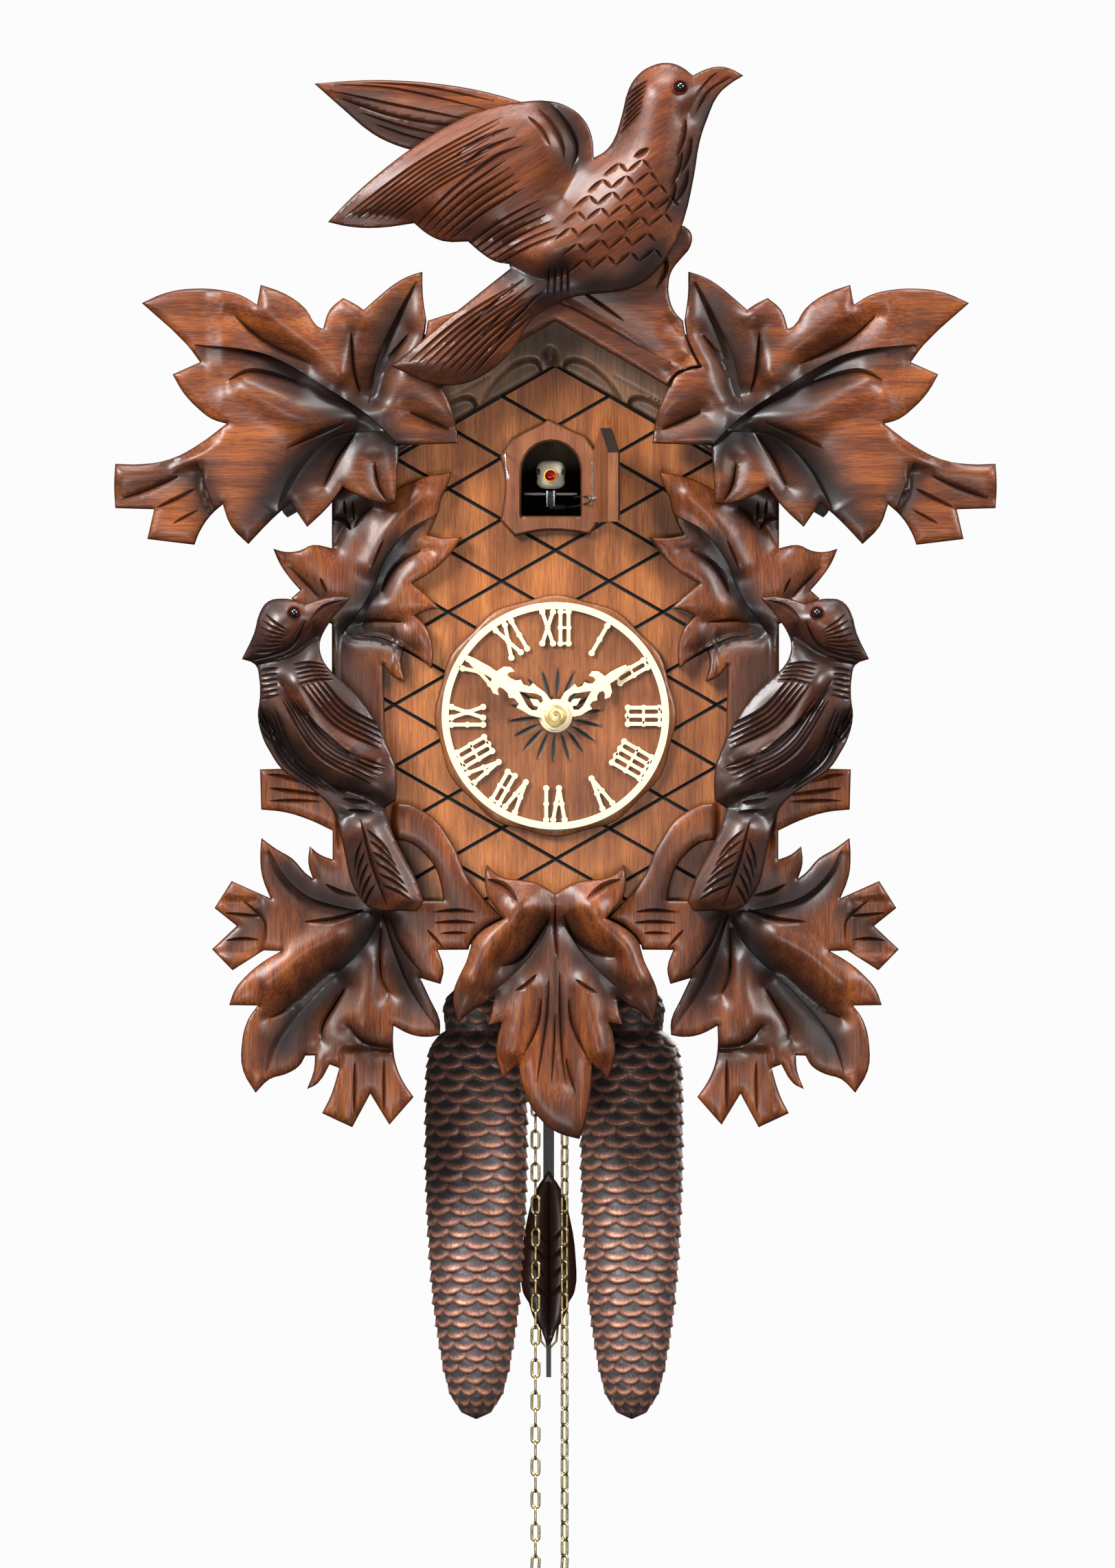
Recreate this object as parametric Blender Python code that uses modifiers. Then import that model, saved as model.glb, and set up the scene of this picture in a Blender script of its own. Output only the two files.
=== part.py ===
"""Carved wall clock with a cuckoo, weights and pendulum, as separate working pieces.

Row frame: x to the right, z up, y = 0 on the wall and the clock's face towards -y.
The origin lies on the wall straight behind the centre of the dial.
Sizes below are in millimetres. A depth is a distance from the wall, so y = -depth.
An outline lists (x, z) corners and (x, z, 1) points that its edge rounds through.
"""

from math import cos, pi, radians, sin, sqrt, tan

import bmesh
import bpy
from mathutils import Matrix, Vector

MM = 0.001
GAP = 0.3

# Case
HALF_WIDTH = 95.0
SIDE_THICK = 6.0
CASE_BOTTOM = -100.0
BOARD_THICK = 6.0
BACK_THICK = 6.0
PITCH = radians(30)
RIDGE = 162.0
ROOF_THICK = 4.5
ROOF_REACH = 121.0
SIDE_FRONT = 116.0
FRONT = (116.3, 123.3)

# Depths of the carved layers in front of the case, (back, front)
TRIM = (123.6, 128.6)
CARVING = (123.6, 134.6)
CROWN = (128.9, 149.0)
LEAF = (135.0, 149.0)
SIDE_BIRD = (134.9, 148.5)
BOTTOM_LEAF = (123.6, 144.0)
TOP_BIRD = (149.3, 165.0)
FAR_WING = (141.0, 149.0)

# Dial and hands
DIAL = (123.6, 127.6)
RING = (127.9, 129.4)
RING_OUTER, RING_INNER, NUMERAL_FOOT = 49.7, 46.6, 30.0
HOUR = (131.0, 132.2)
MINUTE = (133.2, 134.4)
HOUR_ANGLE, HOUR_LENGTH = radians(55.4), 38.4
MINUTE_ANGLE, MINUTE_LENGTH = radians(303.6), 48.4

# Movement
BACK_PLATE = (42.0, 44.0)
FRONT_PLATE = (74.0, 76.0)
PLATE_BOX = (-46.0, 46.0, -48.0, 58.0)
PIN = 1.5
CHAIN_DEPTH = 56.0
CHAIN_R = 2.2
WHEEL_R = 13.15
WEIGHT_X = (-34.9, 33.6)
FREE_X = (-8.8, 4.0)
SPROCKET_Z = -28.0
ESCAPE = (-3.0, 27.0)
ANCHOR_Z = 45.0
PENDULUM_PIVOT = (-3.0, 52.0)
PENDULUM = (20.9, 23.3)
BOB = (23.6, 29.0)
FLY = (-27.0, 38.0)
GONG = (38.0, -50.0)
HAMMER = (72.0, 22.0)

# Door and cuckoo
DOORWAY_X, DOORWAY_HALF, DOORWAY_FOOT, DOORWAY_TOP = -1.9, 12.9, 87.4, 119.8
SURROUND = (123.6, 128.1)
HINGE = (16.2, 128.9)
DOOR_WIDTH, DOOR_THICK = 32.7, 5.4
DOOR_OPEN = radians(102)
CARRIER = (16.0, 95.0)
BIRD = (-2.0, 106.0, 105.6)
LATCH = (-22.0, 114.3)

# Chains below the case
HANK_TOP = -384.0
HANK_RUN = 32.0
HANK_RADIUS = 23.6
HANK_HALF_THICK = 5.3

WALNUT = (0.20, 0.075, 0.03)
HONEY = (0.33, 0.15, 0.055)
PALE = (0.75, 0.66, 0.42)
BRASS = (0.62, 0.45, 0.18)
STEEL = (0.45, 0.45, 0.44)
BLACK = (0.02, 0.02, 0.022)

for old in list(bpy.data.objects):
    bpy.data.objects.remove(old, do_unlink=True)

scene = bpy.context.scene
parts = bpy.data.collections.new("cuckoo_clock")
cutters = bpy.data.collections.new("cutters")
scene.collection.children.link(parts)
scene.collection.children.link(cutters)


# Helpers ----------------------------------------------------------------

def finish(name, obj, colour, roughness=0.5, metallic=0.0):
    """Names the object, puts it with the parts and gives it its own material."""
    obj.name = name
    obj.data.name = name
    parts.objects.link(obj)
    material = bpy.data.materials.new(name)
    material.use_nodes = True
    shader = material.node_tree.nodes["Principled BSDF"]
    shader.inputs["Base Color"].default_value = (*colour, 1)
    shader.inputs["Roughness"].default_value = roughness
    shader.inputs["Metallic"].default_value = metallic
    obj.data.materials.clear()
    obj.data.materials.append(material)
    return obj


def wood(name, obj, colour=WALNUT):
    return finish(name, obj, colour, 0.45)


def metal(name, obj, colour=BRASS):
    return finish(name, obj, colour, 0.35, 1.0)


def flat(outlines, depths, side=1, steps=3):
    """A 2D curve in the xz plane, extruded between two depths. Later outlines are holes."""
    curve = bpy.data.curves.new("flat", "CURVE")
    curve.dimensions = "2D"
    curve.fill_mode = "BOTH"
    curve.resolution_u = steps
    curve.extrude = (depths[1] - depths[0]) / 2 * MM
    for outline in outlines:
        spline = curve.splines.new("BEZIER")
        spline.bezier_points.add(len(outline) - 1)
        spline.use_cyclic_u = True
        for knot, point in zip(spline.bezier_points, outline):
            knot.co = (side * point[0] * MM, point[1] * MM, 0)
            kind = "AUTO" if len(point) == 3 else "VECTOR"
            knot.handle_left_type = knot.handle_right_type = kind
    obj = bpy.data.objects.new("flat", curve)
    obj.rotation_euler = (pi / 2, 0, 0)
    obj.location = (0, -(depths[0] + depths[1]) / 2 * MM, 0)
    return obj


def meshed(obj):
    """The curve object as a welded mesh object with the same place."""
    cutters.objects.link(obj)
    bpy.context.view_layer.update()
    graph = bpy.context.evaluated_depsgraph_get()
    mesh = bpy.data.meshes.new_from_object(obj.evaluated_get(graph))
    solid = bmesh.new()
    solid.from_mesh(mesh)
    bmesh.ops.remove_doubles(solid, verts=solid.verts, dist=0.002 * MM)
    bmesh.ops.recalc_face_normals(solid, faces=solid.faces)
    solid.to_mesh(mesh)
    solid.free()
    made = bpy.data.objects.new("mesh", mesh)
    made.matrix_world = obj.matrix_world.copy()
    bpy.data.objects.remove(obj)
    return made


def solid_of(make):
    """An object from a bmesh that the given function fills."""
    made = bmesh.new()
    make(made)
    mesh = bpy.data.meshes.new("solid")
    made.to_mesh(mesh)
    made.free()
    return bpy.data.objects.new("solid", mesh)


def box(x0, x1, depth0, depth1, z0, z1):
    size = Vector((x1 - x0, depth1 - depth0, z1 - z0)) * MM
    centre = Vector(((x0 + x1) / 2, -(depth0 + depth1) / 2, (z0 + z1) / 2)) * MM
    place = Matrix.Translation(centre) @ Matrix.Diagonal((*size, 1))
    return solid_of(lambda made: bmesh.ops.create_cube(made, size=1, matrix=place))


def rod(x, z, depth0, depth1, radius, segments=16):
    """A round bar along y."""
    turn = Matrix.Rotation(pi / 2, 4, "X")
    place = Matrix.Translation(Vector((x, -(depth0 + depth1) / 2, z)) * MM) @ turn
    obj = solid_of(lambda made: bmesh.ops.create_cone(
        made, cap_ends=True, segments=segments, radius1=radius * MM, radius2=radius * MM,
        depth=(depth1 - depth0) * MM, matrix=place))
    return smooth(obj)


def post(x, depth, z0, z1, radius, segments=12):
    """A round bar along z."""
    place = Matrix.Translation(Vector((x, -depth, (z0 + z1) / 2)) * MM)
    obj = solid_of(lambda made: bmesh.ops.create_cone(
        made, cap_ends=True, segments=segments, radius1=radius * MM, radius2=radius * MM,
        depth=(z1 - z0) * MM, matrix=place))
    return smooth(obj)


def ball(x, depth, z, radii, segments=12):
    place = Matrix.Translation(Vector((x, -depth, z)) * MM)
    place = place @ Matrix.Diagonal((*(Vector(radii) * MM), 1))
    obj = solid_of(lambda made: bmesh.ops.create_uvsphere(
        made, u_segments=segments, v_segments=segments // 2 + 2, radius=1, matrix=place))
    return smooth(obj)


def smooth(obj):
    obj.data.shade_smooth()
    obj.data.set_sharp_from_angle(angle=radians(35))
    return obj


def turned(profile, x, depth, steps=20):
    """A profile of (radius, z), top first, turned about a vertical axis."""
    mesh = bpy.data.meshes.new("turned")
    points = [(radius * MM, 0, z * MM) for radius, z in profile]
    mesh.from_pydata(points, [(i, i + 1) for i in range(len(points) - 1)], [])
    obj = bpy.data.objects.new("turned", mesh)
    obj.location = (x * MM, -depth * MM, 0)
    screw = obj.modifiers.new("turn", "SCREW")
    screw.steps = screw.render_steps = steps
    screw.use_merge_vertices = True
    screw.merge_threshold = 0.00001
    screw.use_smooth_shade = True
    return obj


def wire(points, radius, resolution=2):
    """A round wire through (x, depth, z) points."""
    curve = bpy.data.curves.new("wire", "CURVE")
    curve.dimensions = "3D"
    curve.bevel_depth = radius * MM
    curve.bevel_resolution = resolution
    curve.use_fill_caps = True
    spline = curve.splines.new("POLY")
    spline.points.add(len(points) - 1)
    for knot, (x, depth, z) in zip(spline.points, points):
        knot.co = (x * MM, -depth * MM, z * MM, 1)
    return bpy.data.objects.new("wire", curve)


def combine(obj, others, operation):
    """A Boolean for each helper, which goes with the cutters."""
    for helper in others:
        if helper.name not in cutters.objects:
            cutters.objects.link(helper)
        helper.hide_render = True
        helper.display_type = "WIRE"
        step = obj.modifiers.new(operation.lower(), "BOOLEAN")
        step.operation = operation
        step.object = helper
    return obj


def cut(obj, *others):
    return combine(obj, others, "DIFFERENCE")


def join(obj, *others):
    return combine(obj, others, "UNION")


def circle(x, z, radius, count=24):
    turns = [2 * pi * i / count for i in range(count)]
    return [(x + radius * cos(t), z + radius * sin(t)) for t in turns]


def smooth_route(points, spacing):
    """Points along a smooth curve through the given ones, about the spacing apart."""
    ends = [points[0] * 2 - points[1], *points, points[-1] * 2 - points[-2]]
    route = []
    for before, start, end, after in zip(ends, ends[1:], ends[2:], ends[3:]):
        count = max(1, round((end - start).length / spacing))
        for i in range(count):
            t = i / count
            route.append(0.5 * (2 * start + (end - before) * t
                                + (2 * before - 5 * start + 4 * end - after) * t * t
                                + (3 * start - before - 3 * end + after) * t ** 3))
    return [*route, points[-1]]


# Case -------------------------------------------------------------------

def under_roof(x):
    """Height of the roof's underside over x, with the joint gap taken off."""
    return RIDGE - ROOF_THICK / cos(PITCH) - abs(x) * tan(PITCH) - GAP


def doorway(margin=0.0):
    """The arched opening for the cuckoo."""
    half = DOORWAY_HALF + margin
    spring = DOORWAY_TOP - DOORWAY_HALF
    arc = [(DOORWAY_X + half * cos(pi * i / 12), spring + half * sin(pi * i / 12))
           for i in range(13)]
    foot = DOORWAY_FOOT - margin
    return [(DOORWAY_X - half, foot), (DOORWAY_X + half, foot), *arc]


def gable(half):
    """The outline of a full-width board under the roof."""
    eave = under_roof(half)
    return [(-half, CASE_BOTTOM), (half, CASE_BOTTOM), (half, eave),
            (0, under_roof(0)), (-half, eave)]


front_board = meshed(flat([gable(HALF_WIDTH), doorway(), circle(0, 0, 3.5)], FRONT))
shelf = box(-24, 30, 88, FRONT[0] + 1, 76, 81.5)
wood("front_board", join(front_board, shelf), HONEY)

trim_slope = 0.55
trim_outline = [(-110, 92.8), (-4.6, 150.8), (-5.8, 154.5), (-4.8, 159, 1), (-1.5, 162),
                (1.8, 159, 1), (2.8, 154.5), (1.6, 152.4), (110, 92.8), (110, 113),
                (0, 176.5), (-110, 113)]
wood("gable_trim", flat([trim_outline], TRIM), (0.19, 0.11, 0.06))

latch_spots = [(side * 82, z) for side in (-1, 1) for z in (20,)]
for side, name in ((-1, "left"), (1, "right")):
    inner, outer = HALF_WIDTH - SIDE_THICK, HALF_WIDTH
    edge = [(inner, CASE_BOTTOM), (outer, CASE_BOTTOM),
            (outer, under_roof(outer)), (inner, under_roof(inner))]
    panel = meshed(flat([edge], (0, SIDE_FRONT), side))
    slots = [box(min(side * 85, side * 99), max(side * 85, side * 99), depth, depth + 4, 46, 78)
             for depth in (88, 96, 104)]
    pocket = rod(side * 82, 20, -2, 1.7, 8.2, 24)
    wood("side_panel_" + name, cut(panel, pocket, *slots))
    top, low = RIDGE, RIDGE - ROOF_THICK / cos(PITCH)
    end = RIDGE - ROOF_REACH * tan(PITCH)
    slope = [(0.15, top), (0.15, low),
             (ROOF_REACH - ROOF_THICK * sin(PITCH), end - ROOF_THICK * cos(PITCH)),
             (ROOF_REACH, end)]
    wood("roof_" + name, flat([slope], (GAP, FRONT[1]), side), (0.06, 0.03, 0.02))

inside = HALF_WIDTH - SIDE_THICK - GAP
bottom_board = box(-inside, inside, BACK_THICK + GAP, SIDE_FRONT,
                   CASE_BOTTOM, CASE_BOTTOM + BOARD_THICK)
chain_holes = [post(x, CHAIN_DEPTH, -104, -90, 5, 16) for x in (*WEIGHT_X, *FREE_X)]
swing_slot = box(PENDULUM_PIVOT[0] - 14, PENDULUM_PIVOT[0] + 14, 16, 27, -104, -90)
wood("bottom_board", cut(bottom_board, swing_slot, *chain_holes))

back_panel = meshed(flat([gable(inside), circle(0, 130, 8)], (0, BACK_THICK)))
plate_pocket = box(-20.5, 20.5, -2, 1.7, 115.5, 140.5)
latch_pockets = [rod(side * 82, 20, -2, 1.7, 8.2, 24) for side in (-1, 1)]
wood("back_panel", cut(back_panel, plate_pocket, *latch_pockets))

hanging_plate = meshed(flat([[(-20, 116), (20, 116), (20, 140), (-20, 140)],
                             circle(0, 130, 5)], (0.2, 1.4)))
metal("hanging_plate", hanging_plate, STEEL)

for side, name in ((-1, "left"), (1, "right")):
    x = side * 82
    shape = [(x - 3, 13), (x, 12.2, 1), (x + 3, 13), (x + 3, 27), (x, 27.8, 1), (x - 3, 27)]
    metal("back_latch_" + name, flat([shape], (0.2, 1.4)), STEEL)


# Carvings ---------------------------------------------------------------

crown_outline = [
    (-48.7, 144.0), (0, 172.3), (48.7, 144.0), (52.3, 149.0, 1), (57.4, 151.4, 1),
    (62.6, 152.5), (59.6, 158.4, 1), (56.9, 165.4, 1), (55.7, 172.2), (52.5, 175.5, 1),
    (50, 181, 1), (49.4, 188.6, 1), (51, 194.6, 1), (55, 199.8, 1), (59, 205, 1),
    (59.2, 210.5, 1), (56, 213.6), (48, 212, 1), (43, 203, 1), (38, 192), (0, 188),
    (-30, 181), (-44, 176), (-55.7, 172.2), (-56.9, 165.4, 1), (-59.6, 158.4, 1),
    (-62.6, 152.5), (-57.4, 151.4, 1), (-52.3, 149.0, 1)]
wood("crown_board", flat([crown_outline], CROWN))

upper_leaf_outline = [
    (-180.5, 180), (-170, 184.5, 1), (-158, 186.3, 1), (-145, 185.5, 1), (-137, 183.3, 1),
    (-130.2, 179.2), (-128.6, 187.9), (-118, 184, 1), (-109, 177.5, 1), (-104, 170, 1),
    (-101.4, 168.7), (-98.5, 177, 1), (-92.6, 182.2), (-87, 179.3, 1), (-83.6, 177),
    (-78, 182, 1), (-70, 188.5, 1), (-64, 191.8, 1), (-58, 193.7), (-57.8, 183, 1),
    (-56.3, 172.5), (-57.4, 165.5, 1), (-60.2, 158.5, 1), (-63.6, 152.1), (-57.6, 150.9, 1),
    (-52.6, 148.5, 1), (-49.2, 143.4), (-46, 136, 1), (-44, 130, 1), (-42.3, 118.9),
    (-68.1, 118), (-69, 105.4, 1), (-69.6, 92.8), (-73.1, 92.1, 1), (-84.5, 95.3, 1),
    (-92.7, 99.7), (-99, 91.4, 1), (-108.4, 82.4), (-115.6, 92.9), (-124, 85.5, 1),
    (-134.1, 74.9), (-141.5, 82.6, 1), (-145.2, 92.3), (-150.5, 87.5, 1), (-155.5, 80, 1),
    (-157.6, 74.6), (-178.1, 77.1), (-175.1, 90.1), (-192.1, 90.6), (-192.6, 100, 1),
    (-192.1, 109.9), (-180, 109.8, 1), (-168, 112, 1), (-157, 117.5, 1), (-143.4, 127.4),
    (-150, 129.5, 1), (-156, 134, 1), (-162.5, 141, 1), (-167.1, 148.9), (-155.1, 154.2),
    (-161, 162, 1)]

side_outline = [
    (-97.7, 96), (-71.5, 111.2), (-71.5, 97.5), (-62.4, 102.4, 1), (-55, 104.9, 1),
    (-45.4, 106.6), (-47, 101, 1), (-50, 94.5, 1), (-51, 89.6), (-53, 84.5, 1), (-55.7, 78.9),
    (-49.7, 77.8, 1), (-41, 78.1), (-44.5, 72.5, 1), (-49.7, 66.6, 1), (-55, 62.3, 1),
    (-62.7, 57.7), (-57, 53.2, 1), (-50.7, 47), (-56, 46.1, 1), (-61.1, 43.5), (-57, 39.5, 1),
    (-54.5, 34, 1), (-53.5, 27, 1), (-54.1, 20.5), (-60, 25.8, 1), (-66, 29.3), (-67.5, 24, 1),
    (-65.6, 15), (-70, 16.4, 1), (-75.3, 22.2), (-75, 8.8), (-74.5, -9), (-70, -21.3),
    (-69.9, -38), (-64.1, -38.6, 1), (-57.5, -41.8, 1), (-51.7, -46.1, 1), (-47, -52.8, 1),
    (-43.1, -59.5, 1), (-40.3, -67.1, 1), (-35, -75.5, 1), (-23, -88.3), (-28.5, -91, 1),
    (-33.5, -94.5, 1), (-36.5, -98, 1), (-38, -102.2), (-51.5, -102.3), (-48.9, -110.4, 1),
    (-50.2, -117.2), (-59.1, -114.6), (-54.5, -124.4, 1), (-50.6, -133, 1), (-50.5, -139.5),
    (-56, -140.3, 1), (-63.3, -139.2, 1), (-70.8, -135.4), (-71, -143, 1), (-69.8, -152, 1),
    (-66.5, -160, 1), (-62, -166.6), (-72.6, -178.7), (-80.9, -165.1), (-88.8, -179.8),
    (-102, -173.6), (-98, -165.5, 1), (-94.5, -153.9), (-98.7, -152.3), (-103.8, -160.5, 1),
    (-108.6, -163.1), (-105.6, -155, 1), (-105.1, -148.4), (-109.3, -148.5), (-112, -153, 1),
    (-117.8, -156.5, 1), (-124.8, -158.7, 1), (-131, -164.7), (-136.5, -155, 1),
    (-137.1, -143.8, 1), (-134.5, -133, 1), (-130.1, -126.6), (-142.6, -126.4),
    (-140, -119.5, 1), (-136, -114.5, 1), (-129, -108.3, 1), (-120, -102.8), (-127.5, -102.5),
    (-141.1, -111.2), (-150.1, -102), (-139.3, -91.8), (-149, -84), (-141.5, -72.2),
    (-124.5, -79.8), (-128.2, -70, 1), (-129, -61, 1), (-128.5, -53.4), (-122, -58.2, 1),
    (-115, -62.4, 1), (-109.5, -68.5, 1), (-106, -71.2), (-108, -64.5, 1), (-107.4, -57),
    (-103, -60.6, 1), (-97.4, -62.8), (-97.4, -50.2), (-107, -45.7, 1), (-118, -42.2, 1),
    (-128.6, -41), (-129.1, -23.4), (-97.7, -22.5), (-97.7, 40), (-108, 45), (-115.5, 51.3),
    (-111.5, 54.8), (-116, 60, 1), (-120.5, 66.5, 1), (-123.3, 73), (-118, 71.6, 1),
    (-112, 72.1, 1), (-106, 74.6, 1), (-97.7, 73.2)]
arch_hole = [(-69.5, -54.2), (-64.1, -55.3, 1), (-57.5, -60, 1), (-52.7, -66.2, 1),
             (-50.3, -72.9, 1), (-49, -80.6), (-69.5, -80.6)]

side_bird_outline = [
    (-89.5, 51.5), (-94.7, 52.2, 1), (-101, 51.4, 1), (-109, 48.9), (-113.8, 50.4, 1),
    (-119, 51.1, 1), (-125.3, 49.9, 1), (-129, 45, 1), (-131.5, 36, 1), (-136.9, 24.7),
    (-131, 22.2, 1), (-129.4, 17, 1), (-129, 8, 1), (-129.9, 0, 1), (-128, -9, 1),
    (-124.5, -16, 1), (-119.1, -23.7, 1), (-112.9, -28), (-104.3, -33.7, 1), (-97.5, -41, 1),
    (-93.8, -52, 1), (-91.8, -61, 1), (-89, -72.9, 1), (-85.2, -79.6, 1), (-82, -83.4),
    (-77, -85, 1), (-68, -85.2, 1), (-60.3, -85.3), (-57.5, -81), (-61, -71, 1),
    (-66.1, -61.4, 1), (-70.8, -51.9, 1), (-74.7, -40.4), (-69.6, -37), (-69.2, -29, 1),
    (-69.9, -21.3), (-74.6, -9.8), (-78.5, -2.5, 1), (-85.2, 7.4, 1), (-92.8, 15, 1),
    (-99.5, 21.2, 1), (-102.5, 27, 1), (-102.8, 32, 1), (-101, 36.8, 1), (-97, 42.8, 1)]

for side, name in ((1, "left"), (-1, "right")):
    wood("upper_leaf_" + name, flat([upper_leaf_outline], LEAF, side))
    wood("side_carving_" + name, flat([side_outline, arch_hole], CARVING, side))
    wood("side_bird_" + name, flat([side_bird_outline], SIDE_BIRD, side))
    finish("side_bird_eye_" + name, ball(side * -114, 150.3, 44.8, (3.4, 1.5, 3.4)), BLACK, 0.1)

leaf_half = [
    (-4.5, -74.8, 1), (-8.8, -72.7, 1), (-16, -71.6, 1), (-23, -70.5, 1), (-27.5, -67.8, 1),
    (-30, -65), (-30.9, -72, 1), (-29.6, -79.4), (-22.3, -88.4), (-28.2, -91.4, 1),
    (-33.2, -94.9, 1), (-36.1, -98.3, 1), (-37.5, -102.6), (-38.8, -107, 1), (-42, -113.7, 1),
    (-44.4, -120, 1), (-44.6, -126, 1), (-42.5, -134), (-38.5, -130.2, 1), (-33, -126.8, 1),
    (-27, -123.2), (-28, -129, 1), (-29.6, -135.4), (-23.5, -134), (-25.2, -140, 1),
    (-26, -147, 1), (-24.8, -153, 1), (-22.8, -158.6), (-19.5, -155, 1), (-16.2, -152.3)]
leaf_tip = [(-14.8, -160, 1), (-11.5, -169, 1), (-6, -176.8, 1), (1, -182, 1), (10.5, -184.8),
            (13, -177, 1), (15.2, -166, 1)]
mirrored = [(-x, *rest) for x, *rest in reversed(leaf_half)]
wood("bottom_leaf", flat([[(0, -77.8), *leaf_half, *leaf_tip, *mirrored]], BOTTOM_LEAF))

top_bird_outline = [
    (81.9, 278.9), (75.9, 275.1, 1), (70.9, 270.3, 1), (66.4, 260.6, 1), (62.9, 250, 1),
    (60.4, 235, 1), (55.9, 215.6, 1), (50.4, 202.6, 1), (41.5, 191.2, 1), (30.9, 185.5, 1),
    (20.9, 184.1, 1), (8, 182.4, 1), (-4, 177.3, 1), (-11.6, 171, 1), (-16.5, 162.5, 1),
    (-22.9, 154.8, 1), (-30.9, 148.6, 1), (-38.4, 145, 1), (-48, 143.9, 1), (-57, 145.6, 1),
    (-64.5, 149, 1), (-71.6, 152.3), (-44.5, 174.9), (-19.7, 194.8), (-20.2, 196.8),
    (-26, 197.8, 1), (-32, 201.4, 1), (-38.1, 206.6), (-49, 206.8, 1), (-56, 210, 1),
    (-61.6, 214.6), (-77, 212.6, 1), (-90, 213.1, 1), (-99.1, 215.1), (-89, 225.6, 1),
    (-74, 238.6, 1), (-59, 249.6, 1), (-44, 258.6, 1), (-29, 264.6, 1), (-14, 267.4, 1),
    (-2, 267.7, 1), (6, 265, 1), (12, 260.2, 1), (15.8, 252.6, 1), (16.7, 243.1),
    (21, 245.4, 1), (25, 250, 1), (28.8, 261, 1), (32, 273, 1), (36, 279, 1), (41.5, 282.8, 1),
    (49, 284.3, 1), (55, 282.5, 1), (59.9, 278.8), (65, 281.3, 1), (71, 282.7, 1),
    (76, 281.9, 1)]
far_wing_outline = [
    (-105.1, 275.6), (-89, 276.8, 1), (-72, 277, 1), (-49, 275.2, 1), (-29, 271.6, 1),
    (-13, 267), (-5, 261), (-30, 250), (-60, 246), (-70, 249, 1), (-80, 254, 1), (-92, 264, 1)]
wood("top_bird", flat([top_bird_outline], TOP_BIRD))
wood("top_bird_far_wing", flat([far_wing_outline], FAR_WING))
finish("top_bird_eye", ball(54.4, 166.8, 273.6, (3.6, 1.5, 3.6)), BLACK, 0.1)


# Dial and hands ---------------------------------------------------------

scallops, rim = 12, 52.3
dial_rim = [(rim * sin(t) + 0.7 * cos(scallops * t) * sin(t),
             rim * cos(t) + 0.7 * cos(scallops * t) * cos(t))
            for t in (2 * pi * i / 72 for i in range(72))]
wood("dial_plate", flat([dial_rim, circle(0, 0, 3.5)], DIAL), (0.24, 0.10, 0.045))

star = []
for hour in range(12):
    for turn, radius in ((-0.10, RING_INNER), (-0.14, NUMERAL_FOOT), (0.14, NUMERAL_FOOT),
                         (0.10, RING_INNER), (0.262, RING_INNER)):
        angle = hour * pi / 6 + turn
        star.append((radius * sin(angle), radius * cos(angle)))
ring = flat([circle(0, 0, RING_OUTER, 48), star], RING)
finish("numeral_ring", ring, PALE, 0.5)


def hand(angle, length, hub, bore, depths):
    """A tapering hand with a round hub that starts at the hand's own turn."""
    blade = [(hub * sin(t), hub * cos(t)) for t in (0.35 + (2 * pi - 0.7) * i / 18
                                                    for i in range(19))]
    blade += [(-1.6, length * 0.55), (-2.4, length * 0.7), (0, length), (2.4, length * 0.7),
              (1.6, length * 0.55)]
    outline = [(x * cos(angle) + z * sin(angle), z * cos(angle) - x * sin(angle))
               for x, z in blade]
    return meshed(flat([outline, circle(0, 0, bore, 16)], depths))


hour_tube = rod(0, 0, 77, HOUR[1], 2.8)
hour_bore = rod(0, 0, 76, HOUR[1] + 1, 1.6)
hour_hand = join(hand(HOUR_ANGLE, HOUR_LENGTH, 7.3, 2.0, HOUR), hour_tube)
finish("hour_hand", cut(hour_hand, hour_bore), PALE, 0.5)
finish("minute_hand", hand(MINUTE_ANGLE, MINUTE_LENGTH, 6.2, 1.5, MINUTE), PALE, 0.5)
metal("hand_nut", cut(rod(0, 0, 134.7, 137.2, 4.8, 24), rod(0, 0, 133, 139, 1.5)))


# Movement ---------------------------------------------------------------

SPROCKETS = [(WEIGHT_X[0] + WHEEL_R, SPROCKET_Z), (WEIGHT_X[1] - WHEEL_R, SPROCKET_Z)]
ARBORS = [*SPROCKETS, (0, 0), ESCAPE, (ESCAPE[0], ANCHOR_Z), FLY]


def plate(depths):
    x0, x1, z0, z1 = PLATE_BOX
    return box(x0, x1, *depths, z0, z1)


def holes(depths):
    return [rod(x, z, depths[0] - 1, depths[1] + 1, PIN + 0.3) for x, z in ARBORS]


corners = [(x, z) for x in (-42, 42) for z in (-43, 52)]
pillars = [rod(x, z, BACK_PLATE[1] - 0.5, FRONT_PLATE[0] - GAP, 2.5, 12) for x, z in corners]
hanger = rod(*PENDULUM_PIVOT, PENDULUM[0] - 1.5, BACK_PLATE[0] + 0.5, 1.0, 12)
metal("back_plate", cut(join(plate(BACK_PLATE), hanger, *pillars), *holes(BACK_PLATE)))
legs = [rod(x, z, FRONT_PLATE[1] - 0.5, FRONT[0] - GAP, 2.5, 12) for x, z in corners]
metal("front_plate", cut(join(plate(FRONT_PLATE), *legs), *holes(FRONT_PLATE)))


def gear(x, z, radius, teeth, depths):
    """A toothed disc."""
    step = 2 * pi / teeth
    outline = []
    for tooth in range(teeth):
        for share, reach in ((0.0, radius - 1.6), (0.3, radius), (0.55, radius)):
            turn = (tooth + share) * step
            outline.append((x + reach * sin(turn), z + reach * cos(turn)))
    return meshed(flat([outline], depths))


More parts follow.
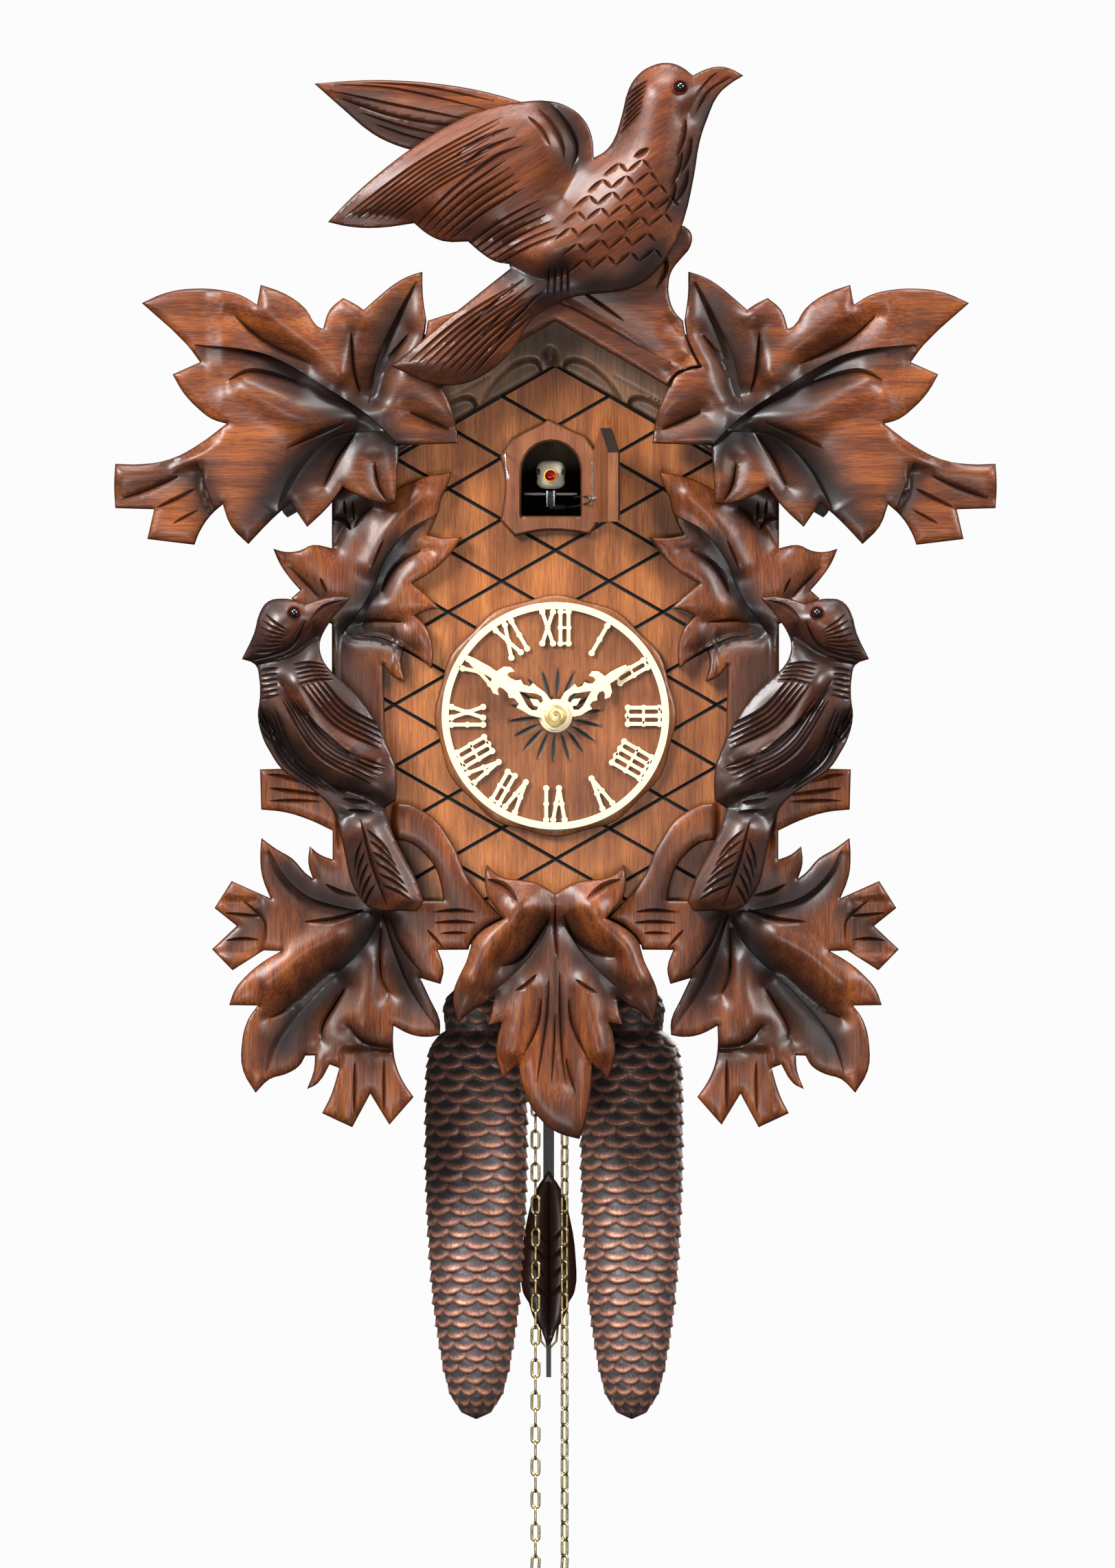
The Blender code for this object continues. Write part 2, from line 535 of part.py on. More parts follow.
for name, (x, z) in zip(("strike_great_wheel", "time_great_wheel"), SPROCKETS):
    drum = rod(x, z, 51, 64.5, WHEEL_R - CHAIN_R - 0.6, 20)
    arbor = rod(x, z, BACK_PLATE[0] + 0.5, FRONT_PLATE[1] - 0.5, PIN, 12)
    metal(name, join(gear(x, z, 17.5, 30, (64, 66)), drum, arbor))

metal("centre_wheel", join(gear(0, 0, 15.5, 28, (68, 70)),
                           rod(0, 0, BACK_PLATE[0] + 0.5, 139.6, 1.2, 12)))
metal("escape_wheel", join(gear(*ESCAPE, 10.5, 24, (50, 51.5)),
                           rod(*ESCAPE, BACK_PLATE[0] + 0.5, FRONT_PLATE[1] - 0.5, 1.2, 12)))
metal("fly", join(box(FLY[0] - 11, FLY[0] + 11, 55, 62, FLY[1] - 0.4, FLY[1] + 0.4),
                  rod(*FLY, BACK_PLATE[0] + 0.5, FRONT_PLATE[1] - 0.5, 1.2, 12)), STEEL)

ax = ESCAPE[0]
anchor_outline = [(ax - 13.2, 30.5), (ax - 11.4, 30.5), (ax - 9.5, 38.5, 1), (ax, 41.5, 1),
                  (ax + 9.5, 38.5, 1), (ax + 11.4, 30.5), (ax + 13.2, 30.5), (ax + 11, 42, 1),
                  (ax, 48.5, 1), (ax - 11, 42, 1)]
anchor_arbor = rod(ax, ANCHOR_Z, 29.5, FRONT_PLATE[1] - 0.5, 1.2, 12)
crutch = box(ax - 0.8, ax + 0.8, 29.8, 31.4, 9, ANCHOR_Z)
fork = [box(ax - 4.7, ax + 4.7, 29.8, 31.4, 8, 12),
        *(rod(ax + side * 4, 10, 18.5, 31, 0.7, 10) for side in (-1, 1))]
anchor = join(meshed(flat([anchor_outline], (49.5, 52))), anchor_arbor, crutch, *fork)
metal("anchor", anchor, STEEL)

turns, start_r, end_r = 2.5, 26.0, 9.0
coil = []
for i in range(41):
    t = i / 40
    radius = start_r + (end_r - start_r) * t
    angle = 2 * pi * turns * t
    coil.append((GONG[0] + radius * cos(angle), 13, GONG[1] + radius * sin(angle)))
coil += [(GONG[0] - 5, 12, GONG[1]), (GONG[0] - 3, 9, GONG[1]), (GONG[0] - 3, 6.4, GONG[1])]
metal("gong", wire(coil, 1.0), STEEL)
hammer_head = ball(HAMMER[0], 13, -40, (3.5, 3.5, 4.5))
hammer_arm = post(HAMMER[0], 13, -38, HAMMER[1], 0.9, 10)
metal("gong_hammer", join(rod(*HAMMER, 6.4, 16, 1.8, 12), hammer_arm, hammer_head), STEEL)

BELLOWS = (60.0, 84.0, 88.0, 112.0, 8.0, 92.0)
for side, name in ((-1, "left"), (1, "right")):
    x0, x1, d0, d1, z0, z1 = BELLOWS
    near, far = sorted((side * x0, side * x1))
    hollow = box(near + 2.5, far - 2.5, d0 + 2.5, d1 - 2.5, z0 + 2.5, z1 - 2.5)
    outer = side * x1
    mouth = box(min(outer - side * 6, outer + side * 3), max(outer - side * 6, outer + side * 3),
                d0 + 4, d1 - 4, 68, 76)
    wood("bellows_" + name, cut(box(near, far, d0, d1, z0, z1), hollow, mouth), HONEY)
    wedge = bpy.data.objects.new("lid", bpy.data.meshes.new("lid"))
    lid = bmesh.new()
    bmesh.ops.create_cube(lid, size=1)
    for vert in lid.verts:
        rear = vert.co.y > 0
        top = vert.co.z > 0
        height = (z1 + 3.2 if rear else z1 + 7.5) if top else z1 + GAP
        vert.co = Vector((near + 0.3 if vert.co.x < 0 else far - 0.3,
                          -(d0 + 0.4) if rear else -(d1 - 0.4), height)) * MM
    lid.to_mesh(wedge.data)
    lid.free()
    finish("bellows_top_" + name, wedge, (0.42, 0.33, 0.24), 0.7)


# Door and cuckoo --------------------------------------------------------

surround_outline = [
    (-3.0, 129.6), (-19.2, 121.2), (-24.3, 113.6), (-22.4, 106, 1), (-22.3, 97, 1),
    (-24.1, 85.2), (-17.8, 78.3), (-9, 80.3, 1), (-1.2, 80.9, 1), (7, 80.4, 1), (15, 79.1),
    (18.9, 84.4), (17.6, 97, 1), (17.6, 106, 1), (18.8, 113.6), (13.2, 122.2)]
wood("door_surround", flat([surround_outline, doorway()], SURROUND), (0.24, 0.11, 0.055))

# The door is drawn shut, to the left of its hinge line, and its empty swings it open.
door_empty = bpy.data.objects.new("door_hinge", None)
parts.objects.link(door_empty)
door_empty.location = (HINGE[0] * MM, -HINGE[1] * MM, 0)
door_outline = [(-DOOR_WIDTH, 84.5), (-GAP, 84.5), (-GAP, 114.5), (-DOOR_WIDTH / 2, 125.5),
                (-DOOR_WIDTH, 114.5)]
door = flat([door_outline], (0, DOOR_THICK))
wood("cuckoo_door", door, (0.16, 0.07, 0.035))
door.parent = door_empty
door_empty.rotation_euler = (0, 0, DOOR_OPEN)

latch_points = [(LATCH[0], 128.4, LATCH[1]), (LATCH[0], 134.8, LATCH[1]),
                (LATCH[0] + 0.3, 135.2, LATCH[1] - 1.5), (LATCH[0] + 1.2, 135.2, LATCH[1] - 12.5)]
metal("door_latch", wire(latch_points, 0.5), STEEL)

bx, bd, bz = BIRD
cuckoo = ball(bx, bd, bz, (6.4, 11.5, 6.4), 16)
tail = box(bx - 3.5, bx + 3.5, bd - 17, bd - 6, bz - 1, bz + 2)
finish("cuckoo_body", join(cuckoo, tail), (0.8, 0.76, 0.66), 0.5)
beak_place = Matrix.Translation(Vector((bx - 0.2, -(bd + 14), bz - 0.5)) * MM)
beak_place = beak_place @ Matrix.Rotation(pi / 2, 4, "X")
beak = solid_of(lambda made: bmesh.ops.create_cone(
    made, cap_ends=True, segments=14, radius1=2.0 * MM, radius2=2.9 * MM, depth=4.2 * MM,
    matrix=beak_place))
finish("cuckoo_beak", smooth(beak), (0.8, 0.25, 0.03), 0.4)

px, pd = CARRIER
arbor = post(px, pd, 81.9, 124, 1.2)
reach = Vector((bx - px, -(bd - pd), 0)) * MM
arm = box(0, reach.length / MM + 1.5, -1, 1, 90.5, 92.5)
arm.matrix_world = (Matrix.Translation(Vector((px, -pd, 0)) * MM)
                    @ reach.to_track_quat("X", "Z").to_matrix().to_4x4())
leg = post(bx, bd, 91, 98.3, 1.6)
perch = box(bx - 11.5, bx + 11.5, bd - 0.5, bd + 0.5, 96.7, 97.7)
metal("cuckoo_carrier", join(arbor, arm, leg, perch), STEEL)
link = [(8.5, 97.8, 93.4), (8.0, 106, 93.4), (8.2, 118, 93.0), (8.8, 126, 93.4),
        (10.2, 129.6, 94.0), (12.4, 130.6, 94.6)]
metal("door_wire", wire(link, 0.5), STEEL)


# Pendulum, weights and chains -------------------------------------------

x, z = PENDULUM_PIVOT
eye = [(x + 3.5 * sin(t), z + 3.5 * cos(t)) for t in (0.8 * (i - 6) / 6 * 3.1 for i in range(13))]
rod_outline = [*eye, (x + 1.1, z - 4), (x + 1.1, 40), (x + 2.4, 36), (x + 2.4, -206),
               (x + 1.1, -212), (x + 1.1, -292), (x - 1.1, -292), (x - 1.1, -212),
               (x - 2.4, -206), (x - 2.4, 36), (x - 1.1, 40), (x - 1.1, z - 4)]
wood("pendulum_rod", flat([rod_outline, circle(x, z, 1.3, 12)], PENDULUM), (0.05, 0.025, 0.018))
bob_half = [(5.5, -209, 1), (9.5, -222, 1), (12, -240, 1), (11.5, -254, 1), (8.8, -259),
            (6.5, -266, 1), (3.2, -271), (1.5, -276)]
bob_outline = [(x, -201), *((x + dx, dz, *more) for dx, dz, *more in bob_half), (x - 1, -278.5),
               *((x - dx, dz, *more) for dx, dz, *more in reversed(bob_half))]
wood("pendulum_bob", flat([bob_outline], BOB), (0.07, 0.02, 0.015))

cone = [(0, -116.5), (5.5, -117), (9, -119.5), (13.5, -123.5), (15, -128), (14.6, -134),
        (13.6, -138.5), (17.5, -141), (21.3, -146), (23, -154), (23.4, -168), (23.4, -200),
        (22.6, -222), (21.4, -242), (19.8, -260), (17.4, -276), (15, -289), (11.8, -299.5),
        (6.8, -306.5), (0, -309.5)]
for x, free_x, name in zip(WEIGHT_X, FREE_X, ("left", "right")):
    finish("weight_" + name, turned(cone, x, CHAIN_DEPTH, 24), (0.08, 0.08, 0.085), 0.5, 0.6)
    up = [(x, CHAIN_DEPTH, -116.2 + 11 * i) for i in range(9)]
    metal("weight_chain_" + name, wire(up, CHAIN_R))
    inward = 1 if x < 0 else -1
    axle = x + inward * WHEEL_R
    over = [Vector((axle - inward * WHEEL_R * cos(pi * i / 8), CHAIN_DEPTH,
                    SPROCKET_Z + 2 + WHEEL_R * sin(pi * i / 8))) for i in range(9)]
    down = [Vector((axle + inward * (WHEEL_R - 0.3), CHAIN_DEPTH, -40))]
    down += [Vector((free_x, CHAIN_DEPTH, z)) for z in (-97, -160, -240, -320, HANK_TOP + GAP)]
    metal("free_chain_" + name, wire(smooth_route(over + down, 13), CHAIN_R))
    hank_z = HANK_TOP - HANK_RADIUS
    ends = [pi * i / 10 for i in range(11)]
    hank_outline = [(CHAIN_DEPTH + HANK_RADIUS * cos(t), hank_z + HANK_RADIUS * sin(t))
                    for t in ends]
    hank_outline += [(CHAIN_DEPTH - HANK_RADIUS * cos(t),
                      hank_z - 2 * HANK_RUN - HANK_RADIUS * sin(t)) for t in ends]
    hank = flat([hank_outline], (-HANK_HALF_THICK, HANK_HALF_THICK))
    hank.rotation_euler = (pi / 2, 0, -pi / 2)
    hank.location = (free_x * MM, 0, 0)
    metal("chain_hank_" + name, hank)
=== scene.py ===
import math
import bpy
import bmesh
import numpy as np
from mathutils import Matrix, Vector
from mathutils.geometry import delaunay_2d_cdt


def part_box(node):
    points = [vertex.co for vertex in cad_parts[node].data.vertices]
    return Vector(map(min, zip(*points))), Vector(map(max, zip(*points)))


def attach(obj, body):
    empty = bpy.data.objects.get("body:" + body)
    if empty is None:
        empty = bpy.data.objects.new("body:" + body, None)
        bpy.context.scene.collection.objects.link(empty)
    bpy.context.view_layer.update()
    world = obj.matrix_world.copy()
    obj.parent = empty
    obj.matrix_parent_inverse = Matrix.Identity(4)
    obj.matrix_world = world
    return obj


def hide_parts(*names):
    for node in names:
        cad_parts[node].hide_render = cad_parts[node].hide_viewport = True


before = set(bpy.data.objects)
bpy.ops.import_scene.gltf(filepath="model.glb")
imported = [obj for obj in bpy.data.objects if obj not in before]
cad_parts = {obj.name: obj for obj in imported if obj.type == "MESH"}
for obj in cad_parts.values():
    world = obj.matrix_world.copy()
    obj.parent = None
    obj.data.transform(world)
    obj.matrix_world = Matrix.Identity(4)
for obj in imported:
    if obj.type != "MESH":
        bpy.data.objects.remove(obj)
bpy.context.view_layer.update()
mm = 0.001
print("clock frame loaded")


def newMaterial(name):
    mat = bpy.data.materials.new(name)
    mat.use_nodes = True
    return mat, mat.node_tree.nodes, mat.node_tree.links, mat.node_tree.nodes["Principled BSDF"]


def mixColour(nodes, links, factor, first, second, blend="MIX"):
    mix = nodes.new("ShaderNodeMix")
    mix.data_type = "RGBA"
    mix.blend_type = blend
    for socket, value in ((mix.inputs[0], factor), (mix.inputs[6], first), (mix.inputs[7], second)):
        if hasattr(value, "is_linked"):
            links.new(value, socket)
        else:
            socket.default_value = value if isinstance(value, float) else (*value, 1)
    return mix.outputs[2]


def noise(nodes, links, vector, scale, detail=4.0, rough=0.6, distortion=0.0):
    tex = nodes.new("ShaderNodeTexNoise")
    tex.inputs["Scale"].default_value = scale
    tex.inputs["Detail"].default_value = detail
    tex.inputs["Roughness"].default_value = rough
    tex.inputs["Distortion"].default_value = distortion
    links.new(vector, tex.inputs["Vector"])
    return tex.outputs["Fac"]


def mapRange(nodes, links, value, low, high, toLow, toHigh):
    node = nodes.new("ShaderNodeMapRange")
    links.new(value, node.inputs[0])
    for socket, number in zip(node.inputs[1:5], (low, high, toLow, toHigh)):
        socket.default_value = number
    return node.outputs[0]


def placed(nodes, links, scale, turn=(0, 0, 0)):
    coord = nodes.new("ShaderNodeTexCoord")
    spin = nodes.new("ShaderNodeMapping")
    spin.inputs["Rotation"].default_value = turn
    links.new(coord.outputs["Object"], spin.inputs["Vector"])
    stretch = nodes.new("ShaderNodeMapping")
    stretch.inputs["Scale"].default_value = scale
    links.new(spin.outputs["Vector"], stretch.inputs["Vector"])
    return stretch.outputs["Vector"]


def addBump(nodes, links, shader, height, strength, distance):
    bump = nodes.new("ShaderNodeBump")
    bump.inputs["Strength"].default_value = strength
    bump.inputs["Distance"].default_value = distance
    links.new(height, bump.inputs["Height"])
    links.new(bump.outputs["Normal"], shader.inputs["Normal"])


woodLooks = {
    "walnutLying": {"dark": (0.018, 0.0045, 0.0022), "mid": (0.108, 0.0235, 0.0056),
                    "light": (0.27, 0.073, 0.0135),
                    "grain": "x", "tilt": 0.0, "coat": 0.22, "carved": True},
    "walnutStanding": {"dark": (0.017, 0.0042, 0.0021), "mid": (0.102, 0.0222, 0.0054),
                       "light": (0.25, 0.068, 0.0128),
                       "grain": "z", "tilt": 0.0, "coat": 0.22, "carved": True},
    "birdWood": {"dark": (0.018, 0.0042, 0.0021), "mid": (0.092, 0.0205, 0.0056),
                 "light": (0.19, 0.05, 0.0118),
                 "grain": "x", "tilt": 0.55, "coat": 0.22, "carved": True},
    "darkBird": {"dark": (0.011, 0.0032, 0.002), "mid": (0.046, 0.0112, 0.0044),
                 "light": (0.115, 0.03, 0.0085),
                 "grain": "x", "tilt": 0.55, "coat": 0.4, "carved": True},
    "honeyBoard": {"dark": (0.085, 0.022, 0.0055), "mid": (0.215, 0.061, 0.0128),
                   "light": (0.37, 0.128, 0.03),
                   "grain": "z", "tilt": 0.0, "coat": 0.3, "carved": True},
    "greyBrown": {"dark": (0.07, 0.030, 0.014), "mid": (0.16, 0.073, 0.034), "light": (0.26, 0.135, 0.070),
                  "grain": "z", "tilt": 0.0, "coat": 0.2, "carved": True},
    "dialWood": {"dark": (0.085, 0.024, 0.008), "mid": (0.165, 0.048, 0.013), "light": (0.26, 0.092, 0.027),
                 "grain": "z", "tilt": 0.0, "coat": 0.25, "carved": True},
    "doorWood": {"dark": (0.08, 0.022, 0.009), "mid": (0.16, 0.048, 0.018), "light": (0.25, 0.092, 0.036),
                 "grain": "z", "tilt": 0.0, "coat": 0.2, "carved": True},
    "caseWood": {"dark": (0.12, 0.040, 0.012), "mid": (0.24, 0.090, 0.028), "light": (0.38, 0.165, 0.055),
                 "grain": "z", "tilt": 0.0, "coat": 0.2, "carved": False},
    "plyBack": {"dark": (0.26, 0.15, 0.075), "mid": (0.40, 0.26, 0.14), "light": (0.55, 0.39, 0.23),
                "grain": "z", "tilt": 0.0, "coat": 0.0, "carved": False},
    "bobWood": {"dark": (0.016, 0.004, 0.003), "mid": (0.055, 0.014, 0.008), "light": (0.10, 0.028, 0.014),
                "grain": "z", "tilt": 0.0, "coat": 0.4, "carved": True},
    "blackStain": {"dark": (0.006, 0.004, 0.004), "mid": (0.014, 0.009, 0.007),
                   "light": (0.035, 0.02, 0.014),
                   "grain": "z", "tilt": 0.0, "coat": 0.2, "carved": False},
}
grainStretch = {"x": (0.045, 1.0, 1.0), "z": (1.0, 1.0, 0.045)}


def makeWood(name, look):
    mat, nodes, links, shader = newMaterial(name)
    stretch = tuple(1000 * v for v in grainStretch[look["grain"]])
    along = placed(nodes, links, stretch, (0, look["tilt"], 0))
    fibre = noise(nodes, links, along, 1.5, 8.0, 0.7, 0.15)
    bands = noise(nodes, links, along, 0.16, 3.0, 0.5, 0.4)
    blotch = noise(nodes, links, placed(nodes, links, (1000,) * 3), 0.035, 2.0, 0.5)
    pores = noise(nodes, links, along, 3.4, 2.0, 0.5)
    blend = nodes.new("ShaderNodeMath")
    blend.operation = "MULTIPLY_ADD"
    links.new(bands, blend.inputs[0])
    blend.inputs[1].default_value = 0.75
    links.new(mapRange(nodes, links, fibre, 0.25, 0.75, -0.1, 0.45), blend.inputs[2])
    ramp = nodes.new("ShaderNodeValToRGB")
    ramp.color_ramp.elements[0].position = 0.18
    ramp.color_ramp.elements[0].color = (*look["dark"], 1)
    ramp.color_ramp.elements[1].position = 0.78
    ramp.color_ramp.elements[1].color = (*look["light"], 1)
    ramp.color_ramp.elements.new(0.48).color = (*look["mid"], 1)
    links.new(blend.outputs[0], ramp.inputs[0])
    colour = mixColour(nodes, links, mapRange(nodes, links, pores, 0.30, 0.40, 0.55, 0.0),
                       ramp.outputs[0], tuple(0.4 * v for v in look["dark"]))
    patch = mapRange(nodes, links, blotch, 0.3, 0.7, 0.72, 1.22)
    tint = nodes.new("ShaderNodeCombineColor")
    for i in range(3):
        links.new(patch, tint.inputs[i])
    colour = mixColour(nodes, links, 1.0, colour, tint.outputs[0], "MULTIPLY")
    if look["carved"]:
        # carved woods take painted shade and dark stain: a low carveShade mixes the wood towards near-black
        shade = nodes.new("ShaderNodeAttribute")
        shade.attribute_name = "carveShade"
        shadeAndStain = mapRange(nodes, links, shade.outputs["Fac"], 0.0, 1.0, 1.0, 0.0)
        colour = mixColour(nodes, links, shadeAndStain, colour, (0.0045, 0.0028, 0.0030))
    links.new(colour, shader.inputs["Base Color"])
    links.new(mapRange(nodes, links, fibre, 0.3, 0.7, 0.52, 0.38), shader.inputs["Roughness"])
    shader.inputs["Coat Weight"].default_value = look["coat"]
    shader.inputs["Coat Roughness"].default_value = 0.26
    shader.inputs["Specular IOR Level"].default_value = 0.3
    addBump(nodes, links, shader, fibre, 0.35, 0.00012)
    return mat


def makeMetal(name, colour, dark, rough, tarnish=0.35, scale=0.5):
    mat, nodes, links, shader = newMaterial(name)
    where = placed(nodes, links, (1000,) * 3)
    cloud = noise(nodes, links, where, scale * 0.3, 4.0, 0.6)
    fine = noise(nodes, links, where, scale * 5, 3.0, 0.6)
    worn = mapRange(nodes, links, cloud, 0.35, 0.75, 0.0, tarnish)
    links.new(mixColour(nodes, links, worn, colour, dark), shader.inputs["Base Color"])
    links.new(mapRange(nodes, links, fine, 0.3, 0.7, rough - 0.06, rough + 0.1), shader.inputs["Roughness"])
    shader.inputs["Metallic"].default_value = 1.0
    addBump(nodes, links, shader, fine, 0.15, 0.00005)
    return mat


def makePaint(name, colour, second, rough, coat=0.0, scale=0.6):
    mat, nodes, links, shader = newMaterial(name)
    where = placed(nodes, links, (1000,) * 3)
    cloud = noise(nodes, links, where, scale, 4.0, 0.6)
    fine = noise(nodes, links, where, scale * 6, 3.0, 0.6)
    links.new(mixColour(nodes, links, mapRange(nodes, links, cloud, 0.35, 0.7, 0.0, 0.6), colour, second),
              shader.inputs["Base Color"])
    links.new(mapRange(nodes, links, fine, 0.3, 0.7, rough - 0.05, rough + 0.08),
              shader.inputs["Roughness"])
    shader.inputs["Coat Weight"].default_value = coat
    addBump(nodes, links, shader, fine, 0.2, 0.00006)
    return mat


finish = {name: makeWood(name, look) for name, look in woodLooks.items()}
finish["edgeBlack"] = makePaint("edgeBlack", (0.010, 0.007, 0.006), (0.03, 0.016, 0.010), 0.35, 0.2)
finish["grooveBlack"] = makePaint("grooveBlack", (0.007, 0.006, 0.006), (0.016, 0.012, 0.010), 0.6)
# a near-black paint that stands for the shade inside the case
finish["paintedInnerShade"] = makePaint("paintedInnerShade", (0.02, 0.012, 0.008), (0.035, 0.02, 0.012), 0.8)
finish["cream"] = makePaint("cream", (0.76, 0.64, 0.41), (0.70, 0.56, 0.33), 0.42)
finish["brass"] = makeMetal("brass", (0.84, 0.66, 0.30), (0.55, 0.38, 0.14), 0.36)
finish["chainBrass"] = makeMetal("chainBrass", (0.60, 0.49, 0.22), (0.26, 0.19, 0.07), 0.28, 0.5)
finish["steel"] = makeMetal("steel", (0.62, 0.62, 0.61), (0.30, 0.29, 0.28), 0.26)
finish["darkSteel"] = makeMetal("darkSteel", (0.16, 0.16, 0.16), (0.05, 0.05, 0.05), 0.35)
finish["birdPaint"] = makePaint("birdPaint", (0.84, 0.79, 0.67), (0.70, 0.52, 0.32), 0.45)
finish["beakOrange"] = makePaint("beakOrange", (0.86, 0.50, 0.05), (0.80, 0.36, 0.04), 0.35)
finish["beakRed"] = makePaint("beakRed", (0.42, 0.012, 0.008), (0.30, 0.008, 0.006), 0.35)
finish["eyeBlack"] = makePaint("eyeBlack", (0.006, 0.005, 0.005), (0.012, 0.008, 0.008), 0.12, 0.6)
finish["eyeRim"] = makePaint("eyeRim", (0.10, 0.013, 0.008), (0.20, 0.03, 0.015), 0.25, 0.6)
finish["cloth"] = makePaint("cloth", (0.44, 0.34, 0.24), (0.36, 0.27, 0.19), 0.85, 0.0, 1.4)
print("finishes made")


def crossesInside(points, loops):
    # which of the points lie inside the loops
    inside = np.zeros(len(points), bool)
    x, z = points[:, 0], points[:, 1]
    for loop in loops:
        for (x0, z0), (x1, z1) in zip(loop, np.roll(loop, -1, axis=0)):
            if z0 == z1:
                continue
            hit = ((z0 > z) != (z1 > z)) & (x < (x1 - x0) * (z - z0) / (z1 - z0) + x0)
            inside ^= hit
    return inside


def lineDistance(points, line, signed=False):
    # distance of each point from a polyline, and how far along it the nearest place is.
    # Signed gives the left side of the line as positive.
    best = np.full(len(points), 1e9)
    share = np.zeros(len(points))
    leftness = np.ones(len(points))
    line = np.asarray(line, float)
    lengths = np.linalg.norm(np.diff(line, axis=0), axis=1)
    total = max(lengths.sum(), 1e-9)
    done = 0.0
    for start, end, length in zip(line[:-1], line[1:], lengths):
        if length < 1e-9:
            continue
        way = (end - start) / length
        t = np.clip((points - start) @ way, 0, length)
        away = np.linalg.norm(points - start - t[:, None] * way, axis=1)
        nearer = away < best
        best = np.where(nearer, away, best)
        share = np.where(nearer, (done + t) / total, share)
        if signed:
            offset = points - start
            leftness = np.where(nearer, np.sign(way[0] * offset[:, 1] - way[1] * offset[:, 0]), leftness)
        done += length
    return (best * leftness if signed else best), share


def nearestLine(points, lines):
    away = np.full(len(points), 1e9)
    for line in lines:
        away = np.minimum(away, lineDistance(points, line)[0])
    return away


def sideways(tangent):
    # unit arrows pointing left of the given ones
    tangent = tangent / (np.linalg.norm(tangent, axis=1)[:, None] + 1e-9)
    return np.column_stack([-tangent[:, 1], tangent[:, 0]])


def twiceArea(pts, tris):
    return np.cross(pts[tris[:, 1]] - pts[tris[:, 0]], pts[tris[:, 2]] - pts[tris[:, 0]])


def curved(points, step=1.5):
    # a smooth line through the points
    pts = [np.array(p[:2], float) for p in points]
    ends = [2 * pts[0] - pts[1], *pts, 2 * pts[-1] - pts[-2]]
    out = []
    for a, b, c, d in zip(ends, ends[1:], ends[2:], ends[3:]):
        count = max(2, int(np.linalg.norm(c - b) / step))
        for i in range(count):
            t = i / count
            out.append(0.5 * (2 * b + (c - a) * t + (2 * a - 5 * b + 4 * c - d) * t * t
                              + (3 * b - a - 3 * c + d) * t ** 3))
    return np.array([*out, pts[-1]])


def dense(loop, step):
    # the closed loop with points no further apart than step
    out = []
    for start, end in zip(loop, np.roll(loop, -1, axis=0)):
        count = max(1, math.ceil(np.linalg.norm(end - start) / step))
        out.extend(start + (end - start) * i / count for i in range(count))
    return np.array(out)


def cadOutline(node):
    # the loops, in mm, round the front face of a CAD node, and its depths (back, front)
    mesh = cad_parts[node].data
    low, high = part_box(node)
    front = low[1]
    edges = {}
    for poly in mesh.polygons:
        corners = [mesh.vertices[i].co for i in poly.vertices]
        if any(abs(c.y - front) > 2e-6 for c in corners) or poly.normal.y > -0.9:
            continue
        keys = [(round(c.x * 1e6), round(c.z * 1e6)) for c in corners]
        for a, b in zip(keys, keys[1:] + keys[:1]):
            if (b, a) in edges:
                del edges[(b, a)]
            else:
                edges[(a, b)] = True
    follow = {}
    for a, b in edges:
        follow.setdefault(a, []).append(b)
    loops = []
    while follow:
        start = next(iter(follow))
        loop, here = [], start
        while here in follow:
            loop.append(here)
            nexts = follow[here]
            there = nexts.pop()
            if not nexts:
                del follow[here]
            here = there
        loops.append(np.array(loop) / 1000.0)
    return loops, (-high[1] * 1000, -low[1] * 1000)


def meshObject(name, verts, faces, materials, smooth=True, angle=40):
    mesh = bpy.data.meshes.new(name)
    mesh.from_pydata([tuple(v) for v in verts], [], [tuple(int(i) for i in f) for f in faces])
    mesh.validate()
    obj = bpy.data.objects.new(name, mesh)
    bpy.context.scene.collection.objects.link(obj)
    for mat in materials:
        mesh.materials.append(mat)
    if smooth:
        mesh.shade_smooth()
        mesh.set_sharp_from_angle(angle=math.radians(angle))
    return obj


def outward(obj, weld=0.0):
    # turns every face of a closed mesh outwards
    made = bmesh.new()
    made.from_mesh(obj.data)
    if weld:
        bmesh.ops.remove_doubles(made, verts=made.verts, dist=weld)
    bmesh.ops.recalc_face_normals(made, faces=made.faces)
    made.to_mesh(obj.data)
    made.free()
    return obj


def ringFaces(rings, segments, closed=False):
    # quads between neighbouring rings of points
    return [(i * segments + j, i * segments + (j + 1) % segments,
             (i + 1) % rings * segments + (j + 1) % segments, (i + 1) % rings * segments + j)
            for i in range(rings if closed else rings - 1) for j in range(segments)]


def ringCaps(rings, segments):
    last = (rings - 1) * segments
    return [tuple(range(segments))[::-1], tuple(last + j for j in range(segments))]


def around(count):
    return [2 * math.pi * j / count for j in range(count)]


def addObject(name, mesh, materials):
    obj = bpy.data.objects.new(name, mesh)
    bpy.context.scene.collection.objects.link(obj)
    for mat in materials:
        mesh.materials.append(mat)
    return obj


def fitPiece(piece, body, slotName, *nodes):
    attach(piece, body)
    if nodes:
        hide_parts(*nodes)
    return piece


# the shade-and-stain settings scale the painted shade and dark stain of the dark lines and of the cuts
carving = {"lip": 0.55, "gougeWidth": 1.6, "gougeDepth": 0.7, "shadeStainSpread": 1.5, "shadeStainStrength": 1.15,
           "hollowDepth": 1.5, "gougeShadeStain": 0.8}


def gouge(line, width, depth=None, blunt=0.0, paint=False):
    # a tapering knife cut along a curve
    width = width * carving["gougeWidth"]
    return {"line": curved(line, 1.2), "width": width, "depth": depth or carving["gougeDepth"] * width,
            "blunt": blunt, "paint": paint}


def fold(depth, width, line, side, dark=0.9):
    # a crisp crest, with the ground falling away on one side: 1 is left of the line, -1 right. Dark sets
    # the painted shade and stain on the low side.
    return {"depth": depth, "width": width, "line": curved(line, 1.3), "side": side, "dark": dark}


def bell(away, width):
    return np.exp(-(away / width) ** 2)


